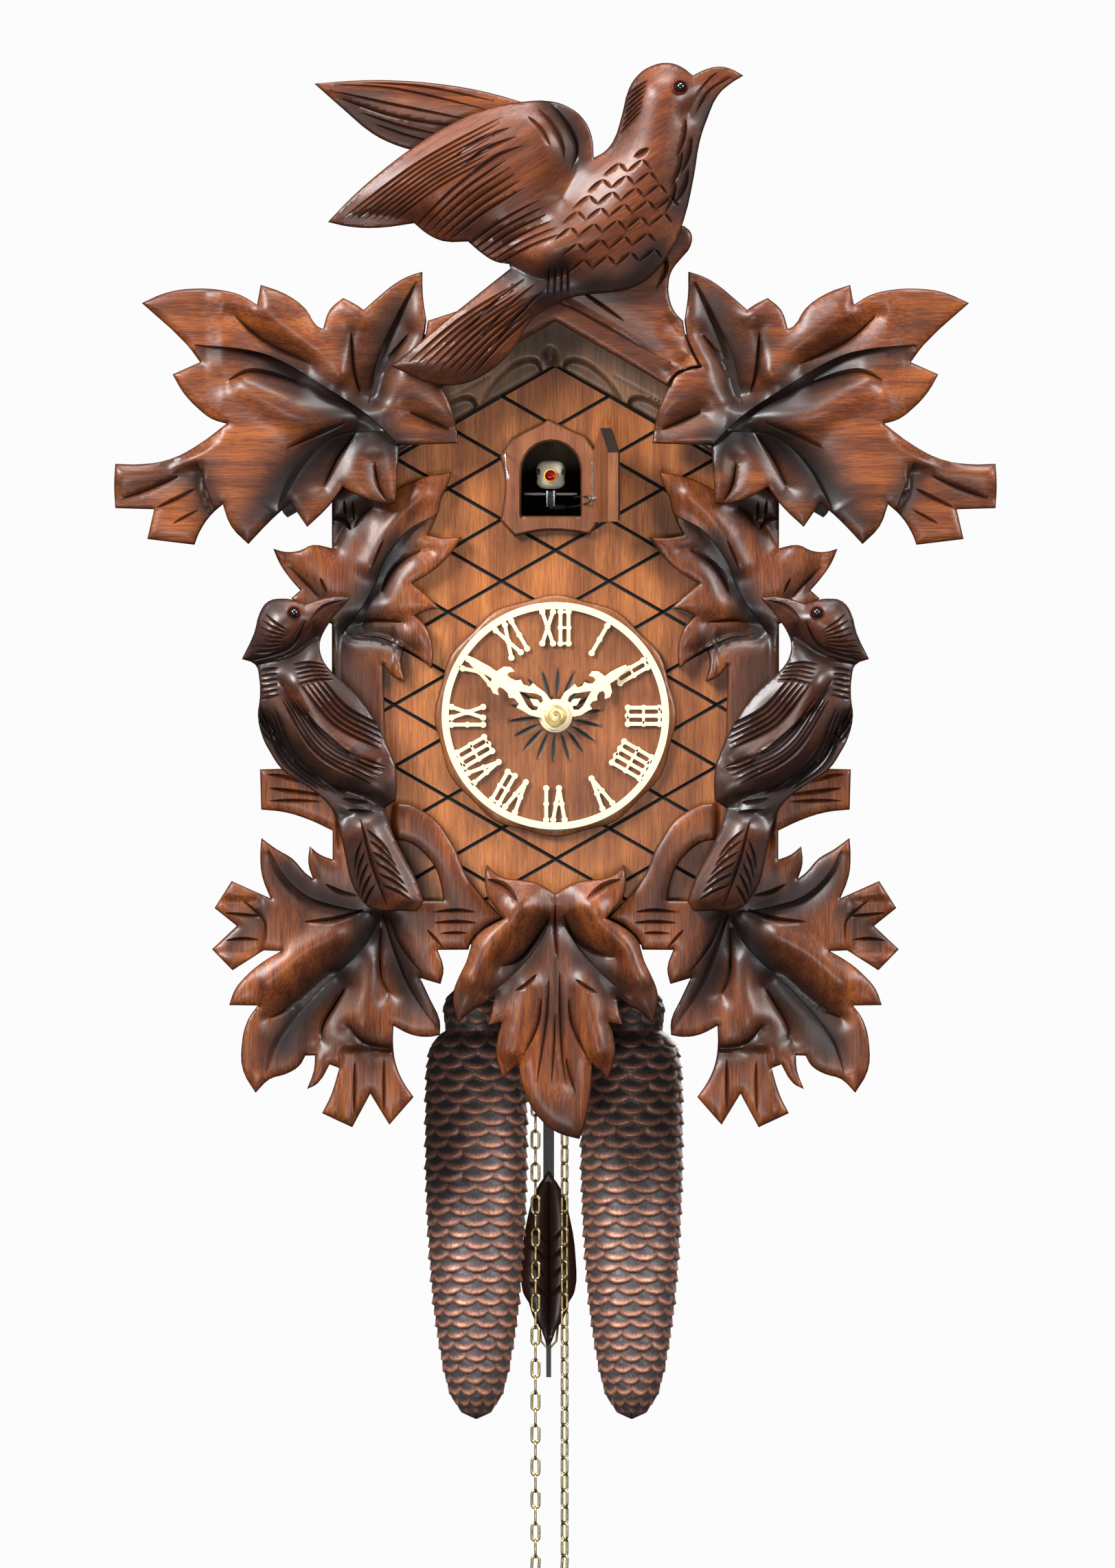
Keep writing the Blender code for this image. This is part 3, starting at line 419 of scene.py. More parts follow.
def carve(name, node, relief, look, body="case", slotName="walnut_stain", shift=0.9, side=1,
          step=1.35, edge=(1.3, 2.4), rim=(0.6, 0.7), lowest=None, loops=None, thick=None):
    # replaces a flat CAD node with its carved form. Relief holds soft hollows and swells as
    # (depth, width, line), cuts from gouge(), and dark lines of painted shade and stain as (strength,
    # width, line).
    cadLoops, (back, front) = cadOutline(node)
    if thick:
        back = front - thick
    loops = [dense(np.array(loop), step * 0.9) for loop in (loops or cadLoops)]
    allLoops = np.vstack(loops)
    outlineLines = [np.vstack([loop, loop[:1]]) for loop in loops]

    def own(line):
        line = np.array([p[:2] for p in line], float)
        line[:, 0] = side * (line[:, 0] + shift)
        return line

    hollows = [(d * carving["hollowDepth"], w, own(curved(line, 3.0)))
               for d, w, line in relief.get("hollows", [])]
    darks = [(min(0.97, d * carving["shadeStainStrength"]), w * carving["shadeStainSpread"], own(curved(line, 3.0)))
             for d, w, line in relief.get("darks", [])]
    cuts = [{**cut, "line": own(cut["line"])} for cut in relief.get("cuts", [])]
    folds = [{**one, "line": own(one["line"]), "side": one["side"] * side}
             for one in relief.get("folds", [])]

    # points: outline, an inner ring for the rim, the knife cuts with both their lips, and a fill
    verts, edges = [], []
    for loop in loops:
        first = len(verts)
        verts.extend(loop)
        edges.extend((first + i, first + (i + 1) % len(loop)) for i in range(len(loop)))
    guides = []
    for cut in cuts:
        half = cut["width"] / 2 * taper(np.linspace(0, 1, len(cut["line"])), cut["blunt"])
        across = sideways(np.gradient(cut["line"], axis=0))
        guides += [cut["line"] + across * (offset * half)[:, None] for offset in (0, 1, -1)]
    for one in folds:
        across = sideways(np.gradient(one["line"], axis=0)) * one["side"]
        guides += [one["line"], one["line"] + across * carving["lip"]]
    for line in guides:
        first = len(verts)
        verts.extend(line)
        edges.extend((first + i, first + i + 1) for i in range(len(line) - 1))
    fixed = np.array(verts)
    low, high = allLoops.min(axis=0), allLoops.max(axis=0)
    xs = np.arange(low[0], high[0], step)
    zs = np.arange(low[1], high[1], step * 0.866)
    gridX, gridZ = np.meshgrid(xs, zs)
    gridX = gridX + (np.arange(len(zs)) % 2)[:, None] * step / 2
    fill = np.column_stack([gridX.ravel(), gridZ.ravel()])
    fill = fill[crossesInside(fill, loops)]
    fill = fill[nearestLine(fill, outlineLines) > rim[0] + step * 0.3]
    fill = fill[nearestLine(fill, guides) > step * 0.35]
    ringPoints = []
    for loop in loops:
        across = sideways(np.roll(loop, -1, axis=0) - np.roll(loop, 1, axis=0))
        for sign in (1, -1):
            pts = loop + sign * across * rim[0]
            pts = pts[crossesInside(pts, loops)]
            if len(pts):
                ringPoints.append(pts[nearestLine(pts, outlineLines) > rim[0] * 0.8])
    fill = np.vstack([fill, *ringPoints])
    allVerts = [Vector(p) for p in np.vstack([fixed, fill])]
    outVerts, _, outFaces = delaunay_2d_cdt(allVerts, edges, [], 0, 1e-4, False)[:3]
    pts = np.array([tuple(v) for v in outVerts])
    tris = np.array([f for f in outFaces if len(f) == 3])
    centres = pts[tris].mean(axis=1)
    tris = tris[crossesInside(centres, loops)]
    tris = tris[np.abs(twiceArea(pts, tris)) > 1e-7]
    clockwise = twiceArea(pts, tris) < 0
    tris[clockwise] = tris[clockwise][:, ::-1]

    # how far each point lies below the highest
    toEdge = nearestLine(pts, outlineLines)
    sink = edge[0] * np.exp(-(toEdge / edge[1]) ** 1.5)
    # carveShade: 1 keeps the wood's own colour, lower values paint shade and stain into it
    shade = np.ones(len(pts))
    for depth, width, line in hollows:
        away, share = lineDistance(pts, line)
        crease = 0.45 * bell(away, width) + 0.55 * np.exp(-away / (0.75 * width))
        sink += depth * (crease if depth > 0 else bell(away, width))
    for one in folds:
        away, share = lineDistance(pts, one["line"], signed=True)
        away = away * one["side"]
        reach = taper(share, 0) * np.clip((away + 0.02) / carving["lip"], 0, 1)
        past = np.clip(away - carving["lip"], 0, None)
        ends = np.exp(-np.clip(past - 0.6 * one["width"], 0, None) / one["width"])
        sink += one["depth"] * reach * np.exp(-(past / one["width"]) ** 1.2)
        behind = np.where(away <= 0, 1 - np.exp(away / (0.8 * one["width"])), 0)
        sink += 0.35 * one["depth"] * taper(share, 0) * behind * np.exp(-(away / (2.2 * one["width"])) ** 2)
        # painted shade and stain on the low side of each crest
        shade = np.minimum(shade, 1 - one["dark"] * reach ** 0.5
                           * np.exp(-(past / (1.25 * one["width"])) ** 2) * ends)
    # dark lines of painted shade and stain along the veins and valleys
    for strength, width, line in darks:
        away, share = lineDistance(pts, line)
        shadeStainAmount = strength * bell(away, width)
        shade = np.minimum(shade, 1 - shadeStainAmount) * (1 - 0.25 * shadeStainAmount)
    if "also" in relief:
        sink, shade = relief["also"](pts[:, 0] * side - shift, pts[:, 1], sink, shade)
    sink -= sink[toEdge > rim[0] * 1.5].min()
    sink = np.maximum(sink, 0)
    rimShare = np.clip(toEdge / rim[0], 0, 1)
    sink += rim[1] * (1 - rimShare)
    # painted shade and stain along the rim
    shade *= 0.12 + 0.88 * rimShare
    for cut in cuts:
        away, share = lineDistance(pts, cut["line"])
        half = cut["width"] / 2 * taper(share, cut["blunt"]) + 1e-6
        inside = np.clip(1 - away / half, 0, 1)
        sink += cut["depth"] * taper(share, cut["blunt"]) * inside
        # painted shade and stain inside the cut
        shade *= 1 - carving["gougeShadeStain"] * inside
    faceLooks = np.zeros(len(tris), int)
    centres = pts[tris].mean(axis=1)
    for cut in cuts:
        if cut.get("paint"):
            away, share = lineDistance(centres, cut["line"])
            faceLooks[away < cut["width"] / 2 * taper(share, cut["blunt"])] = 2
    thick = front - back
    sink = np.minimum(sink, thick - (lowest if lowest is not None else 2.0))
    keep = np.unique(tris)
    renumber = np.full(len(pts), -1)
    renumber[keep] = np.arange(len(keep))
    tris = renumber[tris]
    pts, sink, shade = pts[keep], sink[keep], shade[keep]
    coords = np.column_stack([pts[:, 0], -(front - sink), pts[:, 1]]) * mm
    obj = solidFrom(name, coords, tris, shade, -back * mm,
                    [finish[look], finish["edgeBlack"], finish["grooveBlack"]], faceLooks)
    return fitPiece(obj, body, slotName, node)


def taper(share, blunt):
    # full in the middle and running out to a point at the ends. Blunt keeps an end full.
    reach = np.sin(np.pi * np.clip(share, 0, 1)) ** 0.55
    if blunt == 1:
        reach = np.where(share < 0.5, 1.0, reach)
    if blunt == -1:
        reach = np.where(share > 0.5, 1.0, reach)
    if blunt == 2:
        reach = np.ones_like(share)
    return reach


def solidFrom(name, coords, tris, shade, backY, materials, faceLooks, angle=45):
    # front skin, black side walls straight back, and a flat back
    count = len(coords)
    ways = {(a, b) for tri in tris.tolist() for a, b in zip(tri, tri[1:] + tri[:1])}
    rim = [(a, b) for a, b in ways if (b, a) not in ways]
    rimVerts = sorted({v for edge in rim for v in edge})
    behind = {v: count + i for i, v in enumerate(rimVerts)}
    backCoords = coords[rimVerts].copy()
    backCoords[:, 1] = backY
    walls = [(b, a, behind[a], behind[b]) for a, b in rim]
    order = {v: i for i, v in enumerate(rimVerts)}
    flat = [Vector((coords[v][0] * 1000, coords[v][2] * 1000)) for v in rimVerts]
    out, _, backFaces, origins = delaunay_2d_cdt(flat, [(order[a], order[b]) for a, b in rim], [], 0,
                                                 1e-5)[:4]
    places = np.array([tuple(v) for v in out])
    backTris = np.array([f for f in backFaces if len(f) == 3])
    segments = np.array([(flat[order[a]], flat[order[b]]) for a, b in rim])
    middles = places[backTris].mean(axis=1)
    inside = np.zeros(len(backTris), bool)
    for (x0, z0), (x1, z1) in segments:
        if z0 != z1:
            inside ^= ((z0 > middles[:, 1]) != (z1 > middles[:, 1])) & (
                middles[:, 0] < (x1 - x0) * (middles[:, 1] - z0) / (z1 - z0) + x0)
    source = [group[0] if group else 0 for group in origins]
    backTris = [tuple(count + source[v] for v in tri) for tri in backTris[inside]]
    faces = [tuple(tri) for tri in tris.tolist()] + walls + backTris
    obj = meshObject(name, np.vstack([coords, backCoords]), faces, materials, smooth=False)
    mesh = obj.data
    layer = mesh.attributes.new("carveShade", "FLOAT", "POINT")
    values = np.ones(len(mesh.vertices), np.float32)
    values[:count] = shade
    layer.data.foreach_set("value", values)
    looks = np.ones(len(mesh.polygons), np.int32)
    looks[:len(tris)] = faceLooks
    mesh.polygons.foreach_set("material_index", looks)
    outward(obj)
    mesh.shade_smooth()
    mesh.set_sharp_from_angle(angle=math.radians(angle))
    return obj


# folds, darks and cuts in these tables also paint shade and stain into carveShade through carve()
upperLeaf = {
    "folds": [
        fold(6.0, 8.0, [(-66, 115), (-82, 130.6), (-100, 142.6), (-120, 154.6), (-135, 159.6),
                        (-159, 162.1)], 1, 0.96),
        fold(4.5, 7.0, [(-83, 134.6), (-79, 155.6), (-70, 175.6), (-62, 190)], -1, 0.85),
        fold(5.5, 8.5, [(-76, 124), (-96, 121.5), (-110, 109.6), (-122, 89)], -1, 0.96),
        fold(2.6, 5.0, [(-157, 111), (-153.5, 101), (-148.5, 88)], -1, 0.8),
    ],
    "hollows": [
        (2.4, 8.0, [(-82, 136.6), (-79, 155.6), (-70, 175.6), (-62, 189.6)]),
        (-2.6, 8.0, [(-84, 129.6), (-110, 130.6), (-125, 138.6), (-137, 145.6)]),
        (-2.2, 7.0, [(-96, 150), (-112, 164), (-126, 176)]),
        (-2.0, 6.0, [(-92, 150), (-90, 165), (-87, 174)]),
        (2.4, 6.0, [(-141, 174.6), (-128, 163.6), (-108, 153.6)]),
        (2.6, 6.0, [(-144, 146), (-133, 150), (-113, 145.6)]),
        (2.4, 5.5, [(-90, 167.6), (-89, 150.6), (-86, 140.6)]),
        (2.6, 6.0, [(-65, 166.6), (-75, 152.6), (-80, 140.6)]),
        (2.6, 6.0, [(-65, 132.6), (-56, 128.6), (-47, 124.6)]),
        (2.6, 6.0, [(-88, 123.6), (-96, 112.6), (-102, 99.6)]),
        (2.2, 5.0, [(-80, 110.6), (-78, 100.6), (-74, 92.6)]),
        (1.6, 6.0, [(-190, 94.6), (-165, 104.6)]),
    ],
    "darks": [
        (0.85, 7.5, [(-72, 118), (-84, 129), (-96, 136), (-110, 144), (-124, 152)]),
        (0.75, 7.0, [(-80, 137), (-77, 156), (-69, 176)]),
        (0.85, 8.0, [(-82, 124), (-98, 119), (-112, 108), (-124, 92)]),
        (0.6, 6.0, [(-136, 79), (-128, 90), (-120, 100)]),
        (0.7, 5.0, [(-157, 104), (-154, 97), (-152, 90)]),
        (0.5, 6.0, [(-65, 134), (-55, 130), (-46, 124)]),
        (0.55, 5.0, [(-100, 100), (-96, 111), (-90, 121)]),
        (0.5, 5.0, [(-90, 167), (-89, 151), (-86, 142)]),
        (0.45, 5.0, [(-76, 94), (-79, 104), (-80, 113)]),
        (0.4, 5.0, [(-188, 96), (-166, 105)]),
    ],
    "cuts": [
        gouge([(-141, 174.6), (-128, 163.6), (-108, 153.6)], 2.0),
        gouge([(-144, 146), (-133, 150), (-113, 145.6)], 2.2),
        gouge([(-92, 128), (-105, 122.6), (-118, 116.6)], 1.8),
        gouge([(-88, 123.6), (-96, 112.6), (-102, 99.6)], 2.0),
        gouge([(-80, 110.6), (-78, 100.6), (-74.5, 93.6)], 1.6),
        gouge([(-90, 167.6), (-89, 150.6), (-86, 140.6)], 1.8),
        gouge([(-65, 166.6), (-75, 152.6), (-80, 140.6)], 2.0),
        gouge([(-65, 132.6), (-56, 128.6), (-47, 124.6)], 2.0),
        gouge([(-190, 94.6), (-178, 98.8), (-165, 104.6)], 1.8),
        gouge([(-175, 90.6), (-166, 94.5), (-158, 99.1)], 1.8),
        gouge([(-168, 83.6), (-163, 86.2), (-157, 89.6)], 1.3),
    ],
}


def leafBranch(x, z, sink, shade):
    # the branch stub lies lower than the leaf that it carries
    border = np.interp(z, [70, 90.6, 98.6, 108.6, 120], [-146, -151, -154, -153.5, -150])
    stub = np.clip((border - x) / 1.5, 0, 1) * np.clip((112.5 - z) / 6, 0, 1)
    top = np.clip((z - np.interp(x, [-193, -170, -150], [106, 106, 117])) / 3.5, 0, 1)
    sink = sink + 2.2 * stub + 2.4 * top * np.clip((-146 - x) / 8, 0, 1)
    return sink, shade


upperLeaf["also"] = leafBranch
for side, word in ((1, "Left"), (-1, "Right")):
    carve("upperLeaf" + word, "upper_leaf_" + word.lower(), upperLeaf, "walnutLying", side=side)
print("upper leaves carved")


crownRelief = {
    "hollows": [(2.2, 5.0, [(50, 150), (60, 158), (52, 170)]),
                (1.4, 7.0, [(0, 186), (30, 168), (44, 158)])],
    "darks": [(0.5, 7.0, [(-10, 176), (20, 170), (44, 152)]),
              (0.6, 8.0, [(20, 190), (36, 196), (50, 208)])],
    "cuts": [gouge([(2, 180.6), (27, 167), (50, 154)], 1.2),
             gouge([(-52, 153), (-27, 167), (-2, 180.6)], 1.2),
             gouge([(10, 186), (20, 179), (30, 172)], 1.4), gouge([(44, 208), (48, 196), (44, 186)], 2.0)],
}


def crownBand(x, z, sink, shade):
    # the band along the lower edge stands proud of the field above it
    above = z - (180.6 - 0.533 * np.abs(x))
    return sink + 1.6 * np.clip(above / 1.2, 0, 1), shade


crownRelief["also"] = crownBand
carve("crownBoard", "crown_board", crownRelief, "walnutLying", edge=(0.8, 1.6), shift=0)

trimRelief = {"darks": [(0.35, 6.0, [(-40, 150), (0, 166), (40, 150)])]}


def trimScallops(x, z, sink, shade):
    # scooped crescents along the lower edge, darkest next to the edge: painted shade and stain in the
    # scoops, along their borders, in the groove and in the chip
    along = np.abs(x + 1.5)
    lower = 153.1 - 0.55 * along
    scoop = np.zeros_like(x)
    for start, end, height in ((4.5, 31.0, 10.5), (33.0, 58.0, 9.5), (60.0, 84.0, 8.5)):
        t = (along - start) / (end - start)
        arch = np.where((t > 0) & (t < 1), height
                        * np.sqrt(np.clip(np.sin(np.pi * np.clip(t, 0, 1) ** 0.8), 0, 1)), 0)
        depth = np.clip((arch - (z - lower)) / 3.0, 0, 1)
        scoop = np.maximum(scoop, depth)
    chip = np.clip(1 - np.hypot((x + 2.4) / 4.2, (z - 155.5) / 6.5), 0, 1)
    groove = np.clip(1 - np.abs(z - (163.5 - 0.55 * along)) / 0.6, 0, 1) * (along > 27)
    border = scoop * (1 - scoop) * 4
    sink = sink + 2.2 * scoop + 2.6 * chip + 0.8 * groove
    shade = shade * (1 - 0.45 * scoop) * (1 - 0.55 * border) * (1 - 0.8 * groove)
    return sink, shade * (1 - 0.5 * np.clip(2 * chip, 0, 1))


trimRelief["also"] = trimScallops
trimOutline = [(-110, 92.8), (-1.5, 152.5), (1.6, 152.4), (110, 92.8), (110, 113), (68, 137.3), (66, 152),
               (60, 166), (52, 168), (50, 147.6), (0, 176.5), (-50, 147.6), (-52, 168), (-60, 166),
               (-66, 152),
               (-68, 137.3), (-110, 113)]
carve("gableTrim", "gable_trim", trimRelief, "greyBrown", slotName="grey_brown_board", edge=(0.4, 1.0),
      shift=0, step=1.1, rim=(0.5, 0.4), lowest=1.2, loops=[np.array(trimOutline, float)])


sideRelief = {
    "folds": [
        fold(4.2, 6.0, [(-95, 35), (-85.4, 47.9), (-79.7, 58), (-75.9, 68.1), (-65.8, 80.8),
                        (-52.8, 88)], -1, 0.9),
        fold(2.8, 5.0, [(-92, 35), (-78, 34.5), (-66, 29), (-60, 22)], -1, 0.85),
        fold(5.2, 7.5, [(-76, -88), (-86.2, -103.3), (-105.5, -121.8), (-120.5, -140.2), (-127, -157)],
             -1, 0.96),
        fold(4.0, 6.5, [(-126, -58), (-119, -70), (-109.1, -78.7), (-96, -83), (-80, -86)], -1, 0.85),
        fold(4.0, 6.0, [(-77, -86), (-70.4, -106.9), (-63.4, -121.8), (-51, -139)], 1, 0.85),
    ],
    "hollows": [
        (2.0, 5.0, [(-77.1, 53.6), (-74, 60.6), (-65.2, 70.7), (-56, 72.4)]),
        (2.2, 5.0, [(-88.8, 39.4), (-80, 41.6), (-67.4, 40.9)]),
        (2.0, 5.0, [(-91.7, 36.6), (-74.6, 34.7), (-62, 28)]),
        (-1.8, 5.0, [(-82, 66), (-72, 84), (-60, 96)]),
        (2.4, 6.0, [(-80, 91), (-92, 84), (-97, 74)]),
        (1.8, 5.0, [(-116.9, 66), (-108.1, 56.1), (-103, 50)]),
        (-1.8, 6.0, [(-98, -96), (-112, -104), (-126, -116)]),
        (-1.8, 6.0, [(-80, -108), (-84, -126), (-88, -140)]),
        (2.2, 5.0, [(-104, -142), (-102, -134.1), (-92.5, -118.7)]),
        (2.2, 5.0, [(-126.2, -132.3), (-108.2, -120.9), (-100, -114)]),
        (2.2, 5.0, [(-73.5, -121.8), (-78.3, -103.3), (-77, -90.2)]),
        (2.0, 4.0, [(-91.5, -137), (-81.8, -145.8), (-72.1, -147)]),
    ],
    "darks": [
        (0.85, 6.0, [(-94, 36), (-85.4, 47.9), (-78, 60), (-70, 74)]),
        (0.7, 6.0, [(-99, 88), (-92, 86), (-84, 92)]),
        (0.6, 5.0, [(-92, 36), (-76, 35), (-66, 30)]),
        (0.55, 4.5, [(-110, 58), (-103, 50), (-100, 44)]),
        (0.85, 7.5, [(-78, -91), (-95, -112), (-112, -129), (-120, -142)]),
        (0.8, 7.0, [(-118, -70), (-106, -79), (-88, -84), (-76, -90)]),
        (0.8, 7.0, [(-76, -90), (-70, -107), (-62, -122)]),
        (0.6, 5.0, [(-92, -138), (-82, -146), (-72, -147)]),
        (0.5, 5.0, [(-103, -142), (-101, -132), (-94, -121)]),
        (0.6, 4.0, [(-141, -98), (-134, -90), (-128, -84)]),
        (0.55, 5.0, [(-62, -58), (-52, -70), (-46, -84)]),
        (0.6, 8.0, [(-86, -30), (-90, 0), (-92, 28)]),
    ],
    "cuts": [
        gouge([(-77.1, 53.6), (-74, 60.6), (-68.9, 66.9), (-59.2, 72.4)], 1.9),
        gouge([(-81.3, 63.4), (-78.8, 70), (-75.9, 77)], 1.2),
        gouge([(-88.8, 39.4), (-80, 41.6), (-67.4, 40.9)], 1.4),
        gouge([(-85.4, 35), (-79, 32.8), (-74.6, 30.6)], 1.2),
        gouge([(-116.9, 65), (-108.1, 56.1), (-104.3, 51.4)], 1.2),
        gouge([(-103.8, 60.5), (-102, 56.5), (-100.5, 53)], 1.2),
        gouge([(-93.2, 94.6), (-92.9, 90), (-92.6, 85.8)], 1.0),
        gouge([(-89.6, 93.9), (-89.3, 90), (-89.1, 84.6)], 1.0),
        gouge([(-80.3, 91.5), (-85.4, 87.7), (-89.1, 82)], 1.4),
        gouge([(-99.2, 86), (-94, 85.8), (-90, 81)], 1.8),
        gouge([(-101.6, -73.5), (-95, -77), (-87.1, -78.7)], 1.5),
        gouge([(-110.8, -90), (-102, -89.7), (-93.2, -88), (-84.4, -84.4)], 1.9),
        gouge([(-126.2, -132.3), (-117, -127.5), (-100.3, -114.3)], 1.9),
        gouge([(-102.9, -142), (-102, -134.1), (-92.5, -118.7)], 1.9),
        gouge([(-73.5, -121.8), (-77.4, -112.1), (-77, -92)], 1.9),
        gouge([(-73, -89.3), (-68.6, -99.8), (-59.8, -112.1)], 1.4),
        gouge([(-57.2, -93.2), (-52.8, -98.1), (-50.2, -101.1)], 1.2),
        gouge([(-145.5, -86.2), (-137, -87.2), (-129.3, -87.5)], 1.4),
        gouge([(-145.1, -98.1), (-137, -97.6), (-130.1, -97.9)], 1.4),
        gouge([(-138, -80.5), (-133, -84.5), (-128, -90), (-127.5, -99)], 1.2),
        gouge([(-91.5, -135), (-86.2, -141.1), (-81.8, -143.8), (-72.1, -145.1)], 1.4),
        gouge([(-88.6, -151), (-88.6, -162), (-88.9, -173.6)], 1.3),
        gouge([(-75.8, -149.5), (-75.8, -160), (-75.8, -173)], 1.3),
        gouge([(-54.2, -85.8), (-44, -85.2), (-35.5, -85.8)], 1.5),
        gouge([(-54.1, -90.5), (-44, -90.2), (-35, -90.5)], 1.5),
        gouge([(-51, -95.1), (-44, -95), (-39, -95.1)], 1.3),
        gouge([(-126.6, -25.6), (-120, -26.6), (-112.8, -29)], 1.4),
        gouge([(-126.2, -31.6), (-115, -33.2), (-102.2, -34.7)], 1.5),
        gouge([(-126.2, -37.2), (-115, -37.2), (-103.2, -37.5)], 1.3),
    ],
}


def archBevel(x, z, sink, shade):
    # the strip at the case edge lies flat, and the stubs lie lower
    strip = np.clip((x + 97) / 2, 0, 1) * np.clip((-70 - x) / 2, 0, 1)
    strip = strip * np.clip((40 - z) / 6, 0, 1) * np.clip((z + 60) / 6, 0, 1)
    sink = sink + 2.5 * strip
    stubs = np.clip((-128 - x) / 3, 0, 1) * np.clip((-78 - z) / 3, 0, 1) * np.clip((z + 106) / 3, 0, 1)
    stubs = np.maximum(stubs, np.clip((-144 - z) / 3, 0, 1) * np.clip((x + 95.5) / 2, 0, 1))
    return sink + 1.8 * stubs, shade


sideRelief["also"] = archBevel
for side, word in ((1, "Left"), (-1, "Right")):
    carve("sideCarving" + word, "side_carving_" + word.lower(), sideRelief, "walnutStanding", side=side,
          edge=(1.2, 2.2), step=1.25)
print("side carvings carved")


bottomRelief = {
    "folds": [
        fold(4.8, 6.5, [(-1.5, -87), (-7.1, -99.3), (-16, -110.6), (-31, -124)], -1, 0.9),
        fold(4.8, 6.5, [(2.5, -87), (8.5, -100), (18, -111), (32, -124)], 1, 0.9),
    ],
    "hollows": [
        (2.4, 7.0, [(-0.4, -81.7), (0.2, -100), (0, -115), (0, -140), (2, -160)]),
        (2.0, 4.5, [(-24.2, -109.4), (-15.4, -105.5), (-4.5, -91)]),
        (2.0, 4.5, [(26.4, -105.5), (17.7, -103.4), (3.2, -91)]),
        (-2.4, 6.0, [(-16, -84), (-28, -98), (-36, -114)]),
        (-2.4, 6.0, [(16, -84), (28, -98), (36, -114)]),
        (-1.8, 5.0, [(-12, -118), (-16, -134), (-19, -146)]),
        (-1.8, 5.0, [(12, -118), (16, -134), (19, -146)]),
    ],
    "darks": [
        (0.75, 5.0, [(-4, -92), (-14.4, -108.6), (-27, -121)]),
        (0.75, 5.0, [(4, -92), (14.4, -108.6), (27, -121)]),
        (0.5, 5.0, [(0, -84), (0, -104), (0, -130)]),
        (0.55, 5.0, [(-40, -122), (-40, -132), (-36, -128)]),
        (0.55, 5.0, [(40, -120), (41, -130), (36, -126)]),
        (0.5, 5.0, [(-8, -170), (2, -180), (10, -184)]),
    ],
    "cuts": [
        gouge([(-0.4, -81.7), (-0.4, -94.1), (0.6, -106)], 1.2),
        gouge([(-24.2, -109.4), (-15.4, -105.5), (-4.5, -91)], 1.8),
        gouge([(26.4, -105.5), (17.7, -103.4), (9.4, -98.2), (3.2, -91)], 1.8),
        gouge([(8.4, -114.8), (13, -118.5), (17.7, -121)], 1.6),
        gouge([(-8.4, -112.8), (-13, -117.5), (-17.7, -120)], 1.6),
        gouge([(5.3, -123.1), (7.3, -135.4), (14, -149.9)], 1.6),
        gouge([(-6.3, -123.1), (-8.3, -135.4), (-14, -147.9)], 1.6),
        gouge([(-3, -114.8), (-4, -130.3), (-6.1, -145.8), (-8.2, -159.2)], 1.3),
        gouge([(1.4, -112), (1.8, -128), (2.5, -146), (4, -160)], 1.2),
        gouge([(4.2, -148.9), (6, -157), (8.6, -165)], 1.2),
        gouge([(-0.5, -130), (-1, -146), (-2, -160)], 1.1),
        gouge([(-29.9, -71.4), (-22, -75), (-16.9, -81.2)], 2.4),
        gouge([(28, -71.4), (21, -74.5), (13.5, -79.6)], 2.4),
    ],
}


def leafStem(x, z, sink, shade):
    # above its shoulders the leaf falls back to the branch
    return sink + 1.4 * np.clip((z + 84) / 16, 0, 1), shade


bottomRelief["also"] = leafStem
carve("bottomLeaf", "bottom_leaf", bottomRelief, "walnutStanding", shift=0.3, edge=(1.8, 3.0))


def fan(starts, ends, count, width, sway=0.0, blunt=0.0):
    # cuts spread evenly between two edge lines, each bent by sway
    cuts = []
    for i in range(count):
        t = (i + 0.5) / count
        a = np.array(starts[0]) * (1 - t) + np.array(starts[1]) * t
        b = np.array(ends[0]) * (1 - t) + np.array(ends[1]) * t
        across = np.array([-(b - a)[1], (b - a)[0]])
        middle = (a + b) / 2 + across * sway
        cuts.append(gouge([tuple(a), tuple(middle), tuple(b)], width, blunt=blunt))
    return cuts


def zigzag(start, teeth, step=(10.2, 1.5), peak=(6.8, 5.6), width=1.9, depth=1.2):
    # a row of pointed scales: one straight-sided cut up and down again
    start, step, peak = (np.array(v, float) for v in (start, step, peak))
    cuts = []
    for i in range(teeth):
        foot = start + step * i
        for a, b in ((foot, foot + peak), (foot + peak, foot + step)):
            cuts.append({"line": np.array([a + (b - a) * t for t in np.linspace(0, 1, 7)]), "width": width,
                         "depth": depth, "blunt": 0.0})
    return cuts


